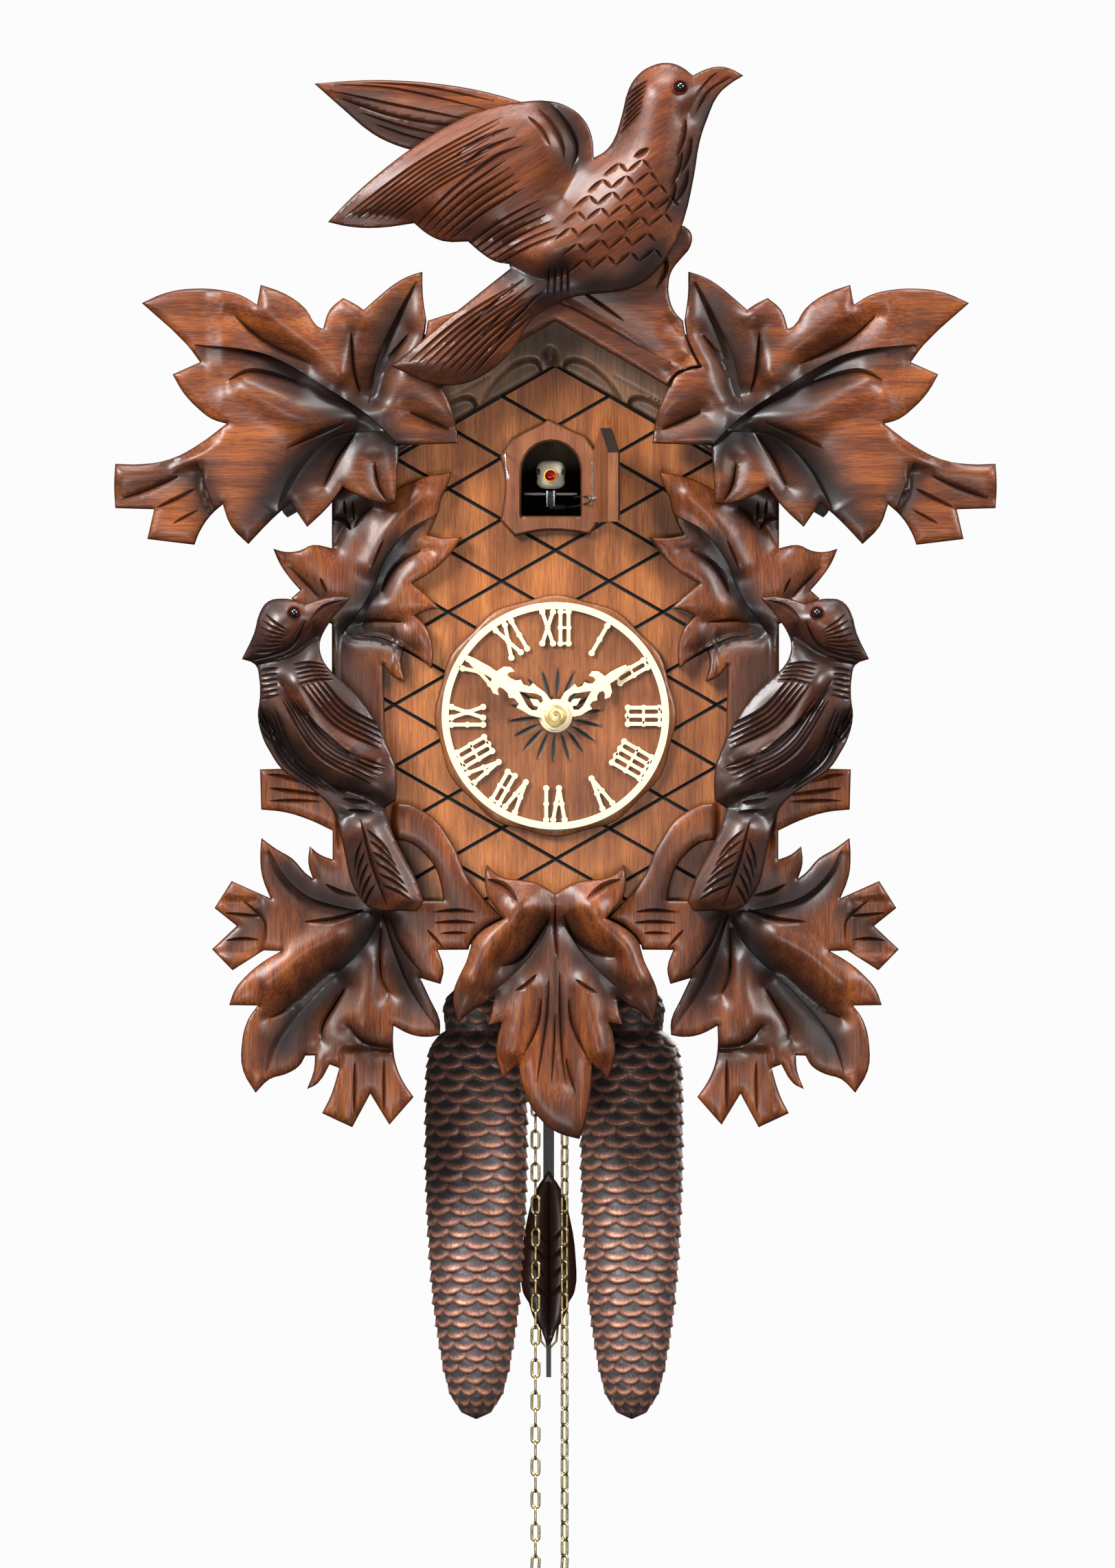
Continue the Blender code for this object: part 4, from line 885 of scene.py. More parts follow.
topBirdRelief = {
    "hollows": [
        (3.0, 8.0, [(-3, 267.6), (7, 252.6), (8, 240), (2, 226)]),
        (-3.2, 14.0, [(-10, 250), (-30, 240), (-50, 228)]),
        (-4.0, 13.0, [(0, 205), (22, 215), (40, 240), (46, 268)]),
        (2.6, 7.0, [(-8, 214), (-20, 206), (-30, 208)]),
        (2.2, 8.0, [(-60, 214), (-76, 218), (-92, 218)]),
        (2.8, 6.0, [(-20, 196), (-8, 190), (4, 192)]),
        (-1.6, 9.0, [(-20, 178), (-44, 160), (-62, 152)]),
        (1.6, 4.0, [(57, 262), (66, 275), (79, 279)]),
    ],
    "darks": [
        (0.8, 7.0, [(-6, 184), (10, 186), (28, 187), (42, 200)]),
        (0.7, 7.0, [(56, 222), (62, 244), (66, 262)]),
        (0.8, 5.0, [(-22, 194), (-10, 190), (2, 196)]),
        (0.75, 5.0, [(-3, 267), (7, 254), (8, 242)]),
        (0.5, 6.0, [(-60, 215), (-78, 217), (-94, 217)]),
        (0.5, 6.0, [(-70, 152), (-50, 147), (-32, 150)]),
        (0.55, 4.0, [(32, 276), (28, 262), (24, 250)]),
        (0.45, 7.0, [(-8, 220), (-24, 214), (-36, 212)]),
    ],
    "cuts": [
        gouge([(-3, 266.6), (2, 260.6), (7, 252.6), (8.5, 245.6), (6, 237.6)], 1.6),
        gouge([(-8, 264), (-2, 257), (2, 249), (3, 242)], 1.6),
        gouge([(-13, 261), (-7, 255), (-3, 248)], 1.5),
        gouge([(33, 243), (37, 245), (40, 247)], 2.2, 2.0),
        gouge([(60, 262), (66, 272), (76, 278.5)], 1.2),
        gouge([(70, 280.5), (66, 277), (61, 271)], 1.0),
        *fan([(-95, 217), (-70, 215)], [(-24, 262), (-32, 240)], 8, 1.2, 0.03),
        *fan([(-62, 215), (-46, 206)], [(-26, 246), (-14, 228)], 6, 1.3, 0.03),
        *fan([(-44, 203), (-24, 196)], [(-9, 226), (2, 208)], 6, 1.2, 0.03),
        *fan([(-48, 244), (-36, 234)], [(-22, 258), (-14, 246)], 3, 1.5, 0.05),
        *fan([(-67, 154), (-35, 148)], [(-20, 188), (-10, 174)], 9, 1.4, 0.03),
        *fan([(-46, 166), (-26, 158)], [(-16, 192), (-4, 184)], 3, 1.3, 0.03),
        *fan([(-6, 182), (6, 184)], [(-5, 195), (6, 196)], 4, 1.1),
        *fan([(27, 252), (31, 272)], [(36, 262), (40, 278)], 7, 1.0),
        gouge([(56, 260), (55, 251), (52, 243)], 1.6), gouge([(58.5, 252), (57, 243), (53.5, 235)], 1.6),
        gouge([(54.5, 246), (53, 238), (49.5, 230)], 1.6),
        gouge([(57, 238), (55.5, 230), (51.5, 223)], 1.6),
        gouge([(51.5, 233), (50.5, 226), (47, 219)], 1.5),
        *zigzag((5, 193), 4), *zigzag((2, 200), 4), *zigzag((-1, 207), 5), *zigzag((2, 214), 5),
        *zigzag((7, 221), 4), *zigzag((13, 228), 3), *zigzag((20, 235), 2),
    ],
}


def birdBack(x, z, sink, shade):
    # the tail and legs lie deeper than the body
    tail = np.clip((186 - z + 0.25 * x) / 12, 0, 1) * np.clip((10 - x) / 12, 0, 1)
    return sink + 3.2 * tail, shade


topBirdRelief["also"] = birdBack
carve("topBird", "top_bird", topBirdRelief, "birdWood", edge=(3.4, 5.5), step=1.2)
farWingRelief = {
    "hollows": [(1.8, 8.0, [(-100, 271), (-60, 257), (-20, 252)])],
    "darks": [(0.7, 7.0, [(-90, 262), (-60, 252), (-20, 252)]), (0.4, 5.0, [(-60, 262), (-30, 260)])],
    "cuts": [
        gouge([(-97, 275.2), (-70, 273), (-30, 264)], 1.0),
        gouge([(-99, 272.5), (-70, 266), (-35, 259)], 1.1),
        gouge([(-95, 269), (-70, 261), (-40, 256)], 1.1), gouge([(-86, 263), (-68, 257), (-50, 253)], 1.1),
        gouge([(-84, 276), (-58, 274), (-28, 268)], 1.0), gouge([(-80, 258), (-66, 253), (-54, 250)], 1.0)],
}
carve("topBirdFarWing", "top_bird_far_wing", farWingRelief, "walnutLying", edge=(1.2, 3.0), rim=(0.6, 0.6))
print("top bird carved")

sideBirdRelief = {
    "folds": [
        fold(1.8, 4.0, [(-121, 16), (-115, 6), (-100, -8), (-85, -20), (-73, -23.5)], -1, 0.7),
        fold(2.4, 4.5, [(-127, 3), (-116, -18), (-100, -29), (-80, -34.5)], -1, 0.8),
        fold(2.2, 4.0, [(-107, 41), (-110, 33), (-118, 27), (-134, 22)], 1, 0.8),
    ],
    "hollows": [
        (-2.6, 9.0, [(-116, 42), (-124, 36)]),
        (2.4, 5.0, [(-106, 34), (-116, 26), (-132, 22)]),
        (-3.0, 9.0, [(-114, 12), (-106, -6), (-92, -22)]),
        (2.0, 4.5, [(-122, 15), (-112, 2), (-98, -10), (-80, -21)]),
        (2.4, 5.0, [(-128, -4), (-116, -18), (-100, -30), (-82, -37)]),
        (-1.6, 6.0, [(-84, -48), (-74, -66), (-68, -80)]),
        (1.8, 5.0, [(-92, -44), (-84, -42), (-76, -40)]),
    ],
    "darks": [
        (0.65, 5.0, [(-106, 32), (-116, 25), (-130, 22)]),
        (0.7, 6.0, [(-128, -2), (-116, -18), (-100, -30), (-80, -36)]),
        (0.5, 5.0, [(-98, 16), (-86, 4), (-77, -8)]),
        (0.7, 5.0, [(-94, -42), (-84, -40), (-76, -40)]),
        (0.45, 6.0, [(-92, -60), (-86, -76)]),
        (0.5, 4.0, [(-134, 30), (-130, 44), (-124, 49)]),
    ],
    "cuts": [
        *fan([(-135.5, 26), (-127, 46)], [(-120, 29), (-117.5, 38)], 7, 1.0, -0.05),
        gouge([(-108, 41.7), (-102, 47.5), (-93, 50.4)], 1.4),
        gouge([(-109.5, 42), (-117, 30), (-133, 24)], 1.6),
        *fan([(-116, 23.5), (-113, 12.5)], [(-102, 23), (-97, 15)], 5, 1.2, 0.05),
        *fan([(-130, 21), (-129.5, 6)], [(-122, 22), (-121, 8)], 6, 1.1),
        *fan([(-113, 13), (-103, 18)], [(-77, -16), (-75, -4)], 5, 1.6, -0.10),
        *fan([(-121, 7), (-114, 8)], [(-82, -31), (-73, -22)], 5, 1.7, -0.12),
        *fan([(-128, -2), (-123, 4)], [(-106, -32), (-90, -35)], 4, 1.7, -0.12),
        *fan([(-133, -2), (-130, 6)], [(-124, -14), (-119, -10)], 3, 1.2, -0.05),
        gouge([(-94, -36), (-88, -37.5), (-82, -38)], 1.6),
        gouge([(-92, -41), (-86, -42), (-80, -42)], 1.6),
        gouge([(-86, -45), (-81, -64), (-74, -84)], 1.5),
        *fan([(-84, -47), (-77, -76)], [(-73, -60), (-62, -83)], 6, 1.3, 0.04),
        *fan([(-86, -52), (-79, -76)], [(-89, -66), (-84, -86)], 5, 1.2, -0.04),
    ],
}
for side, word in ((1, "Left"), (-1, "Right")):
    carve("sideBird" + word, "side_bird_" + word.lower(), sideBirdRelief, "darkBird",
          side=side, edge=(3.0, 4.6), step=1.15)
print("side birds carved")


def ringed(name, centre, radii, depths, body, node, materials, segments=32):
    # a turned eye: a dark rim round a black dome. Radii and depths run outwards to the middle.
    verts = [((centre[0] + radius * math.cos(turn)) * mm, -depth * mm,
              (centre[1] + radius * math.sin(turn)) * mm)
             for radius, depth in zip(radii, depths) for turn in around(segments)]
    faces = ringFaces(len(radii), segments) + ringCaps(len(radii), segments)[1:]
    obj = meshObject(name, verts, faces, materials, angle=60)
    for poly in obj.data.polygons:
        poly.material_index = 0 if poly.index < 3 * segments else 1
    return fitPiece(obj, body, "eye_glaze", node)


eyes = {"top_bird_eye": (54.4, 273.6, 3.6, 163.6), "side_bird_eye_left": (-114, 44.8, 3.4, 147.2),
        "side_bird_eye_right": (114, 44.8, 3.4, 147.2)}
for node, (x, z, radius, depth) in eyes.items():
    radii = [radius * s for s in (1.0, 0.97, 0.82, 0.72, 0.66, 0.5, 0.3, 0.12)]
    depths = [depth + s for s in (-1.5, 0.9, 1.3, 0.8, 1.6, 2.4, 2.9, 3.1)]
    ringed(node.replace("_", ""), (x, z), radii, depths, "case", node,
           [finish["eyeRim"], finish["eyeBlack"]])


board = {"thick": 7.0, "shelf": ((-24.0, 30.0), (88.0, 116.3), (76.0, 81.5)), "grooveWidth": 1.6,
         "grooveDepth": 1.1, "pitchX": 23.5, "pitchZ": 27.0, "crossing": 45.3}


def boardRelief():
    slope = board["pitchZ"] / 2 / board["pitchX"]
    cuts = []
    for rise in (slope, -slope):
        for k in range(-16, 17):
            z0 = board["crossing"] + k * board["pitchZ"]
            line = np.array([(-100.0, z0 - 100 * rise), (100.0, z0 + 100 * rise)])
            cuts.append({"line": line, "width": board["grooveWidth"], "depth": board["grooveDepth"],
                         "blunt": 2,
                         "paint": True})
    return {"cuts": cuts}


frontBoard = carve("frontBoard", "front_board", boardRelief(), "honeyBoard", slotName="honey_board",
                   shift=0,
                   step=5.0, edge=(0.0, 1.0), rim=(0.6, 0.3), lowest=3.0, thick=board["thick"])
frontBoard.data.materials[0] = finish["honeyBoard"]
# the bird's shelf behind the doorway is painted near-black as shade
corners = [(x * mm, -depth * mm, z * mm) for z in board["shelf"][2] for depth in board["shelf"][1]
           for x in board["shelf"][0]]
shelf = meshObject("birdShelf", corners, [(0, 2, 3, 1), (4, 5, 7, 6), (0, 1, 5, 4), (2, 6, 7, 3),
                                          (0, 4, 6, 2), (1, 3, 7, 5)],
                   [finish["paintedInnerShade"]], smooth=False)
fitPiece(outward(shelf), "case", "honey_board", "front_board")
print("front board grooved")


dial = {"rays": 18, "rayInner": 8.2, "rayOuter": 20.4, "rayWidth": 1.15, "firstRay": 3.3}


def dialRelief():
    cuts = []
    for k in range(dial["rays"]):
        turn = math.radians(dial["firstRay"] + 360 / dial["rays"] * k)
        way = np.array([math.sin(turn), math.cos(turn)])
        line = [tuple(way * (dial["rayInner"] + (dial["rayOuter"] - dial["rayInner"]) * s))
                for s in (0, 0.5, 1)]
        cuts.append(gouge(line, dial["rayWidth"], 0.7, paint=True))
    return {"cuts": cuts}


carve("dialPlate", "dial_plate", dialRelief(), "dialWood", slotName="dial_wood", shift=0, step=1.6,
      edge=(0.8, 1.2), rim=(0.6, 0.5), lowest=1.2)


def flatShape(name, loops, depths, materials, bevel=0.25, angle=40):
    # a flat cut-out from outline loops in mm, with a slightly rounded front edge
    verts, edges = [], []
    for loop in loops:
        first = len(verts)
        verts.extend(Vector(p) for p in loop)
        edges.extend((first + i, first + (i + 1) % len(loop)) for i in range(len(loop)))
    out, _, faces = delaunay_2d_cdt(verts, edges, [], 0, 1e-5, False)[:3]
    pts = np.array([tuple(v) for v in out])
    tris = np.array([f for f in faces if len(f) == 3])
    tris = tris[crossesInside(pts[tris].mean(axis=1), [np.array(loop) for loop in loops])]
    tris = tris[np.abs(twiceArea(pts, tris)) > 1e-8]
    made = bmesh.new()
    front = [made.verts.new((p[0] * mm, -depths[1] * mm, p[1] * mm)) for p in pts]
    for tri in tris:
        made.faces.new([front[i] for i in tri])
    loose = [v for v in made.verts if not v.link_faces]
    bmesh.ops.delete(made, geom=loose, context="VERTS")
    bmesh.ops.recalc_face_normals(made, faces=made.faces)
    if sum(f.normal.y for f in made.faces) > 0:
        bmesh.ops.reverse_faces(made, faces=made.faces)
    rim = [e for e in made.edges if e.is_boundary]
    grown = bmesh.ops.extrude_edge_only(made, edges=rim)["geom"]
    for g in grown:
        if isinstance(g, bmesh.types.BMVert):
            g.co.y = -depths[0] * mm
    bmesh.ops.triangle_fill(made, use_beauty=True,
                            edges=[g for g in grown if isinstance(g, bmesh.types.BMEdge)])
    bmesh.ops.recalc_face_normals(made, faces=made.faces)
    sharp = [e for e in made.edges if len(e.link_faces) == 2 and e.calc_face_angle(0) > 1.2
             and all(v.co.y < -(depths[1] - 0.01) * mm for v in e.verts)]
    bmesh.ops.bevel(made, geom=sharp, offset=bevel * mm, segments=2, profile=0.6, affect="EDGES",
                    clamp_overlap=True)
    mesh = bpy.data.meshes.new(name)
    made.to_mesh(mesh)
    made.free()
    obj = addObject(name, mesh, materials)
    mesh.shade_smooth()
    mesh.set_sharp_from_angle(angle=math.radians(angle))
    return obj


def joined(name, objects):
    # one object from several
    made = bmesh.new()
    materials = []
    for obj in objects:
        first = len(made.faces)
        remap = []
        for mat in obj.data.materials:
            if mat not in materials:
                materials.append(mat)
            remap.append(materials.index(mat))
        mesh = obj.data.copy()
        mesh.transform(obj.matrix_basis)
        made.from_mesh(mesh)
        made.faces.ensure_lookup_table()
        for face in made.faces[first:]:
            face.material_index = remap[face.material_index] if remap else 0
        bpy.data.meshes.remove(mesh)
        bpy.data.objects.remove(obj)
    mesh = bpy.data.meshes.new(name)
    made.to_mesh(mesh)
    made.free()
    return addObject(name, mesh, materials)


numerals = {"foot": 31.6, "height": 13.8, "bar": 0.82, "bulb": 1.35, "knot": 1.25, "pitch": 3.55,
            "ring": (46.6, 49.7), "tie": 0.5}
romanHours = ["XII", "I", "II", "III", "IIII", "V", "VI", "VII", "VIII", "IX", "X", "XI"]


def strokeLoop(a, b, bar, bulb, knot):
    # a bar from a to b with round ends and a knot in the middle
    a, b = np.array(a, float), np.array(b, float)
    length = np.linalg.norm(b - a)
    way = (b - a) / length
    across = np.array([-way[1], way[0]])
    spots = np.linspace(-bulb * 0.96, length + bulb * 0.96, 64)
    half = np.full(len(spots), bar)
    for centre, radius in ((0.0, bulb), (length, bulb), (length / 2, knot)):
        reach = np.sqrt(np.clip(radius ** 2 - (spots - centre) ** 2, 0, None))
        half = np.where(reach > 0, np.maximum(np.where((spots < 0) | (spots > length), 0, half), reach),
                        half)
    half = np.where(((spots < 0) | (spots > length)), np.minimum(half, bulb), half)
    right = [a + way * s + across * h for s, h in zip(spots, half)]
    left = [a + way * s - across * h for s, h in zip(spots, half)]
    return np.array(right + left[::-1])


def numeralStrokes(word):
    # strokes of one hour as pairs of points, in a frame with its foot at the origin
    pitch, height = numerals["pitch"], numerals["height"]
    strokes, x = [], 0.0
    for letter in word:
        if letter == "I":
            strokes.append(((x, 0), (x, height)))
            x += pitch
        if letter == "V":
            strokes += [((x + 1.9, 0), (x - 0.6, height)), ((x + 1.9, 0), (x + 4.4, height))]
            x += pitch + 3.9
        if letter == "X":
            strokes += [((x - 0.5, 0), (x + 4.2, height)), ((x + 4.2, 0), (x - 0.5, height))]
            x += pitch + 3.9
    xs = [p[0] for s in strokes for p in s]
    middle = (min(xs) + max(xs)) / 2
    return [((a[0] - middle, a[1]), (b[0] - middle, b[1])) for a, b in strokes]


def circleLoop(radius, count=128, centre=(0, 0)):
    turns = np.linspace(0, 2 * np.pi, count, endpoint=False)
    return np.column_stack([centre[0] + radius * np.cos(turns), centre[1] + radius * np.sin(turns)])


def unionLoops(name, shapes, depths, materials):
    # overlapping cut-outs as one piece. Each lies a hair lower, so that no faces meet.
    made = []
    for i, loops in enumerate(shapes):
        drop = 0.004 * (i % 7)
        made.append(flatShape(name + str(i), loops, (depths[0], depths[1] - drop), materials, 0.16))
    return joined(name, made)


ringLow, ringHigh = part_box("numeral_ring")
shapes = [[circleLoop(numerals["ring"][1]), circleLoop(numerals["ring"][0])]]
for hour, word in enumerate(romanHours):
    turn = hour * math.pi / 6
    up = np.array([math.sin(turn), math.cos(turn)])
    right = np.array([math.cos(turn), -math.sin(turn)])
    strokes = numeralStrokes(word)
    for (ax, az), (bx, bz) in strokes:
        a = right * ax + up * (numerals["foot"] + az)
        b = right * bx + up * (numerals["foot"] + bz)
        shapes.append([strokeLoop(a, b, numerals["bar"], numerals["bulb"], numerals["knot"])])
    tops = sorted({b for a, b in strokes})
    for bx, bz in {tops[0], tops[-1]}:
        a = right * bx + up * (numerals["foot"] + bz)
        b = a / np.linalg.norm(a) * (numerals["ring"][0] + 0.8)
        across = np.array([-(b - a)[1], (b - a)[0]]) / np.linalg.norm(b - a) * numerals["tie"]
        shapes.append([np.array([a + across, b + across, b - across, a - across])])
    if len(word) > 1:                       # little bridges where neighbouring strokes touch
        span = [s for s in strokes if s[0][0] == s[1][0]]
        for (ax, _), (bx, _) in zip([s[0] for s in span], [s[0] for s in span][1:]):
            for level in (0.0, 0.5, 1.0):
                h = numerals["foot"] + numerals["height"] * level
                lo, hi = right * ax + up * (h - 0.55), right * bx + up * (h - 0.55)
                shapes.append([np.array([lo, hi, hi + up * 1.1, lo + up * 1.1])])
numeralRing = unionLoops("numeralRing", shapes, (-ringHigh[1] * 1000, -ringLow[1] * 1000),
                         [finish["cream"]])
fitPiece(numeralRing, "case", "cream_plastic", "numeral_ring")
print("dial made")


handLooks = {
    "hour_hand": {"angle": 55.4, "hub": 7.3, "bore": 2.9, "body": "hour", "outline": [
        (4.6, 5.7), (6.2, 9.2), (6.3, 12.2), (6.7, 14.9), (4.6, 15.0), (4.1, 17.0), (4.9, 18.8),
        (3.2, 20.0),
        (2.4, 21.6), (2.9, 23.3), (4.4, 23.3), (6.2, 21.8), (6.9, 24.2), (5.4, 26.4), (3.2, 27.2),
        (2.0, 27.6),
        (2.1, 31.0), (1.5, 35.5), (0.9, 38.0)]},
    "minute_hand": {"angle": 303.6, "hub": 6.2, "bore": 1.7, "body": "centre", "outline": [
        (4.3, 4.6), (6.0, 9.5), (6.1, 13.0), (6.5, 16.2), (4.5, 16.2), (3.6, 19.2), (4.8, 21.3),
        (3.3, 22.8),
        (2.8, 25.6), (3.2, 27.4), (4.6, 27.3), (6.3, 25.5), (6.9, 28.2), (5.4, 30.6), (3.2, 31.6),
        (1.9, 32.2),
        (2.0, 36.0), (1.4, 43.0), (0.4, 48.2)]},
}
handPlate = {"thick": 1.2, "bevel": 0.2, "hubGap": 0.75}     # the gap is where the blade leaves the hub
piercing = [(0.0, 19.0), (1.9, 15.2), (3.4, 12.2), (3.6, 9.8), (2.4, 8.1), (0.9, 8.4), (1.6, 10.4),
            (0.0, 13.6)]
for node, look in handLooks.items():
    low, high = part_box(node)
    front = -low[1] * 1000
    turn = math.radians(look["angle"])

    def turned(u, v):
        return (u * math.cos(turn) + v * math.sin(turn), v * math.cos(turn) - u * math.sin(turn))

    half = look["outline"]
    arc = [(look["hub"] * math.sin(t), look["hub"] * math.cos(t))
           for t in np.linspace(handPlate["hubGap"], 2 * math.pi - handPlate["hubGap"], 40)]
    loop = [turned(u, v) for u, v in arc] + [turned(-u, v) for u, v in half]
    loop += [turned(u, v) for u, v in reversed(half)]
    hole = [turned(u, v) for u, v in piercing] + [turned(-u, v) for u, v in reversed(piercing[1:-1])]
    bore = circleLoop(look["bore"], 32)
    shape = flatShape(node.replace("_", ""), [np.array(loop), np.array(hole), bore],
                      (front - handPlate["thick"], front), [finish["cream"]], handPlate["bevel"])
    fitPiece(shape, look["body"], "cream_plastic", node)


def lathe(name, profile, centre, axis, material, segments=48, angle=35):
    # a profile of (radius, place along the axis) in mm, turned about the axis through centre
    verts = []
    for radius, place in profile:
        for turn in around(segments):
            u, v = radius * math.cos(turn), radius * math.sin(turn)
            spot = {"y": (centre[0] + u, centre[1] + place, centre[2] + v),
                    "z": (centre[0] + u, centre[1] + v, centre[2] + place)}[axis]
            verts.append(tuple(c * mm for c in spot))
    faces = ringFaces(len(profile), segments) + ringCaps(len(profile), segments)
    return outward(meshObject(name, verts, faces, [material], angle=angle))


nutLow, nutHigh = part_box("hand_nut")
nutFront, nutBack = -nutLow[1] * 1000, -nutHigh[1] * 1000
nutProfile = [(4.7, -nutBack), (4.8, -nutBack - 1.5), (4.5, -nutFront + 0.3), (3.5, -nutFront),
              (3.3, -nutFront + 0.5),
              (2.4, -nutFront + 0.6), (2.2, -nutFront), (1.75, -nutFront - 0.1), (1.6, -nutFront + 0.4)]
nut = lathe("handNut", nutProfile, (0, 0, 0), "y", finish["brass"])
fitPiece(nut, "centre", "polished_brass", "hand_nut")
hourTube = lathe("hourTube", [(2.8, -78.0), (2.8, -133.2), (2.0, -133.3)], (0, 0, 0), "y", finish["brass"])
fitPiece(hourTube, "hour", "polished_brass")
tip = lathe("centreTip", [(1.2, -134.0), (1.2, -139.0), (0.8, -139.6), (0.3, -139.7)], (0, 0, 0), "y",
            finish["steel"])
fitPiece(tip, "centre", "steel")
print("hands made")


carve("doorSurround", "door_surround", {}, "doorWood", shift=0, step=1.4, edge=(0.0, 1.0),
      rim=(1.1, 1.3), lowest=1.5)


def tube(name, points, radius, material, segments=10, closed=False):
    # a round wire through points in mm
    pts = np.array(points, float)
    count = len(pts)
    tangent = np.gradient(pts, axis=0)
    if closed:
        tangent = np.roll(pts, -1, axis=0) - np.roll(pts, 1, axis=0)
    tangent /= np.linalg.norm(tangent, axis=1)[:, None]
    guide = np.array([0.0, 0.0, 1.0]) if abs(tangent[0][2]) < 0.9 else np.array([1.0, 0.0, 0.0])
    verts = []
    normal = np.cross(tangent[0], guide)
    normal /= np.linalg.norm(normal)
    for i in range(count):
        normal = normal - tangent[i] * np.dot(normal, tangent[i])
        normal /= np.linalg.norm(normal)
        other = np.cross(tangent[i], normal)
        for turn in around(segments):
            verts.append(tuple((pts[i] + radius * (math.cos(turn) * normal + math.sin(turn) * other)) * mm))
    faces = ringFaces(count, segments, closed) + ([] if closed else ringCaps(count, segments))
    return outward(meshObject(name, verts, faces, [material], angle=50))


door = {"hingeX": 16.2, "hingeDepth": 128.9, "open": 102.0, "width": 32.7, "thick": 5.4}


def doorSpot(u, v, w):
    # a place on the door: u from the hinge line outwards, v up, w from its inner face to its front
    turn = math.radians(door["open"])
    x = door["hingeX"] + (-u) * math.cos(turn) + w * math.sin(turn)
    y = -door["hingeDepth"] + (-u) * math.sin(turn) - w * math.cos(turn)
    return (x * mm, y * mm, v * mm)


def doorPiece(name, loop, w0, w1, materials, rim=0.9, drop=1.0):
    # a board on the door with a bevelled rim on its front
    loop = np.array(loop, float)
    centre = loop.mean(axis=0)
    inner = centre + (loop - centre) * (1 - rim / np.abs(loop - centre).max())
    count = len(loop)
    verts = [doorSpot(u, v, w0) for u, v in loop] + [doorSpot(u, v, w1 - drop) for u, v in loop] \
        + [doorSpot(u, v, w1) for u, v in inner]
    faces = [tuple(range(count)), tuple(2 * count + i for i in range(count))]
    for row in (0, 1):
        for i in range(count):
            j = (i + 1) % count
            faces.append((row * count + i, row * count + j, (row + 1) * count + j, (row + 1) * count + i))
    obj = meshObject(name, verts, faces, materials, smooth=False)
    made = bmesh.new()
    made.from_mesh(obj.data)
    bmesh.ops.recalc_face_normals(made, faces=made.faces)
    layer = made.verts.layers.float.new("carveShade")
    for vert in made.verts:
        vert[layer] = 1.0
    made.faces.ensure_lookup_table()
    for face in made.faces:
        face.material_index = 0
    made.to_mesh(obj.data)
    made.free()
    for poly in obj.data.polygons:
        if poly.index >= 2 + count:
            poly.material_index = 1
    return obj


w = door["width"]
outline = [(0.3, 84.5), (w, 84.5), (w, 114.5), (w / 2, 125.5), (0.3, 114.5)]
panel = doorPiece("doorPanel", outline, 0.0, door["thick"], [finish["doorWood"], finish["edgeBlack"]])
fitPiece(panel, "door", "walnut_stain", "cuckoo_door")
for poly in panel.data.polygons:          # the gable edges of the door are painted black
    if poly.index >= 2 and poly.center.z * 1000 > 115.5 and abs(poly.normal.z) > 0.2:
        poly.material_index = 1
hingeWire = tube("doorHingeWire", [(16.1, -128.0, 110.8), (16.1, -129.9, 110.6), (16.1, -130.0, 108),
                                   (16.1, -130.0, 97), (16.1, -129.9, 94.8), (16.1, -128.0, 94.6)], 0.32,
                                   finish["steel"])
fitPiece(hingeWire, "case", "steel")
stapleSpots = [doorSpot(5.0 + 1.6 * math.cos(t), 95.0 + 1.0 * math.sin(t), -0.32)
               for t in np.linspace(0, 2 * math.pi, 14, endpoint=False)]
staple = tube("doorStaple", [tuple(1000 * c for c in s) for s in stapleSpots], 0.35, finish["steel"],
              closed=True)
fitPiece(staple, "door", "steel")
link = [(6.0, -97.8, 95.7), (8.5, -106.0, 95.6), (9.2, -118.0, 95.7), (11.0, -126.0, 95.8),
        (14.4, -130.6, 95.6),
        (15.4, -131.6, 94.6), (14.8, -131.0, 93.2), (11.0, -126.0, 91.9), (8.4, -116.0, 91.5),
        (6.0, -104.0, 91.5)]
wireLoop = tube("doorLink", link, 0.42, finish["darkSteel"])
fitPiece(wireLoop, "carrier", "steel", "door_wire")
latchWire = tube("doorLatch", [(-22.0, -128.0, 114.6), (-22.0, -134.6, 114.6), (-22.0, -135.2, 113.8),
                               (-21.9, -135.2, 112.4),
                               (-21.6, -135.2, 107.0), (-21.2, -135.2, 103.2), (-20.6, -135.2, 102.4),
                               (-20.3, -135.2, 103.6),
                               (-21.0, -135.2, 105.2), (-21.4, -135.2, 106.8)], 0.42, finish["steel"])
fitPiece(latchWire, "door_hook", "steel", "door_latch")


def blob(name, centre, radii, squareness, material, segments=40, rows=24, shape=None):
    # a rounded block: a ball pushed towards a box
    verts = []
    for i in range(rows + 1):
        v = math.pi * i / rows - math.pi / 2
        for u in around(segments):
            p = np.array([math.cos(v) * math.cos(u), math.cos(v) * math.sin(u), math.sin(v)])
            p = np.sign(p) * np.abs(p) ** squareness
            spot = np.array(centre) + p * np.array(radii)
            if shape:
                spot = shape(spot, p)
            verts.append(tuple(spot * mm))
    return outward(meshObject(name, verts, ringFaces(rows + 1, segments), [material], angle=60), 1e-6)


def headShape(spot, p):
    # a slight waist above wider cheeks
    x, y, z = spot
    waist = 1 - 0.07 * math.exp(-((z - 104.6) / 1.6) ** 2) + 0.04 * math.exp(-((z - 101.5) / 2.0) ** 2)
    return np.array([-2.0 + (x + 2.0) * waist, y, z])


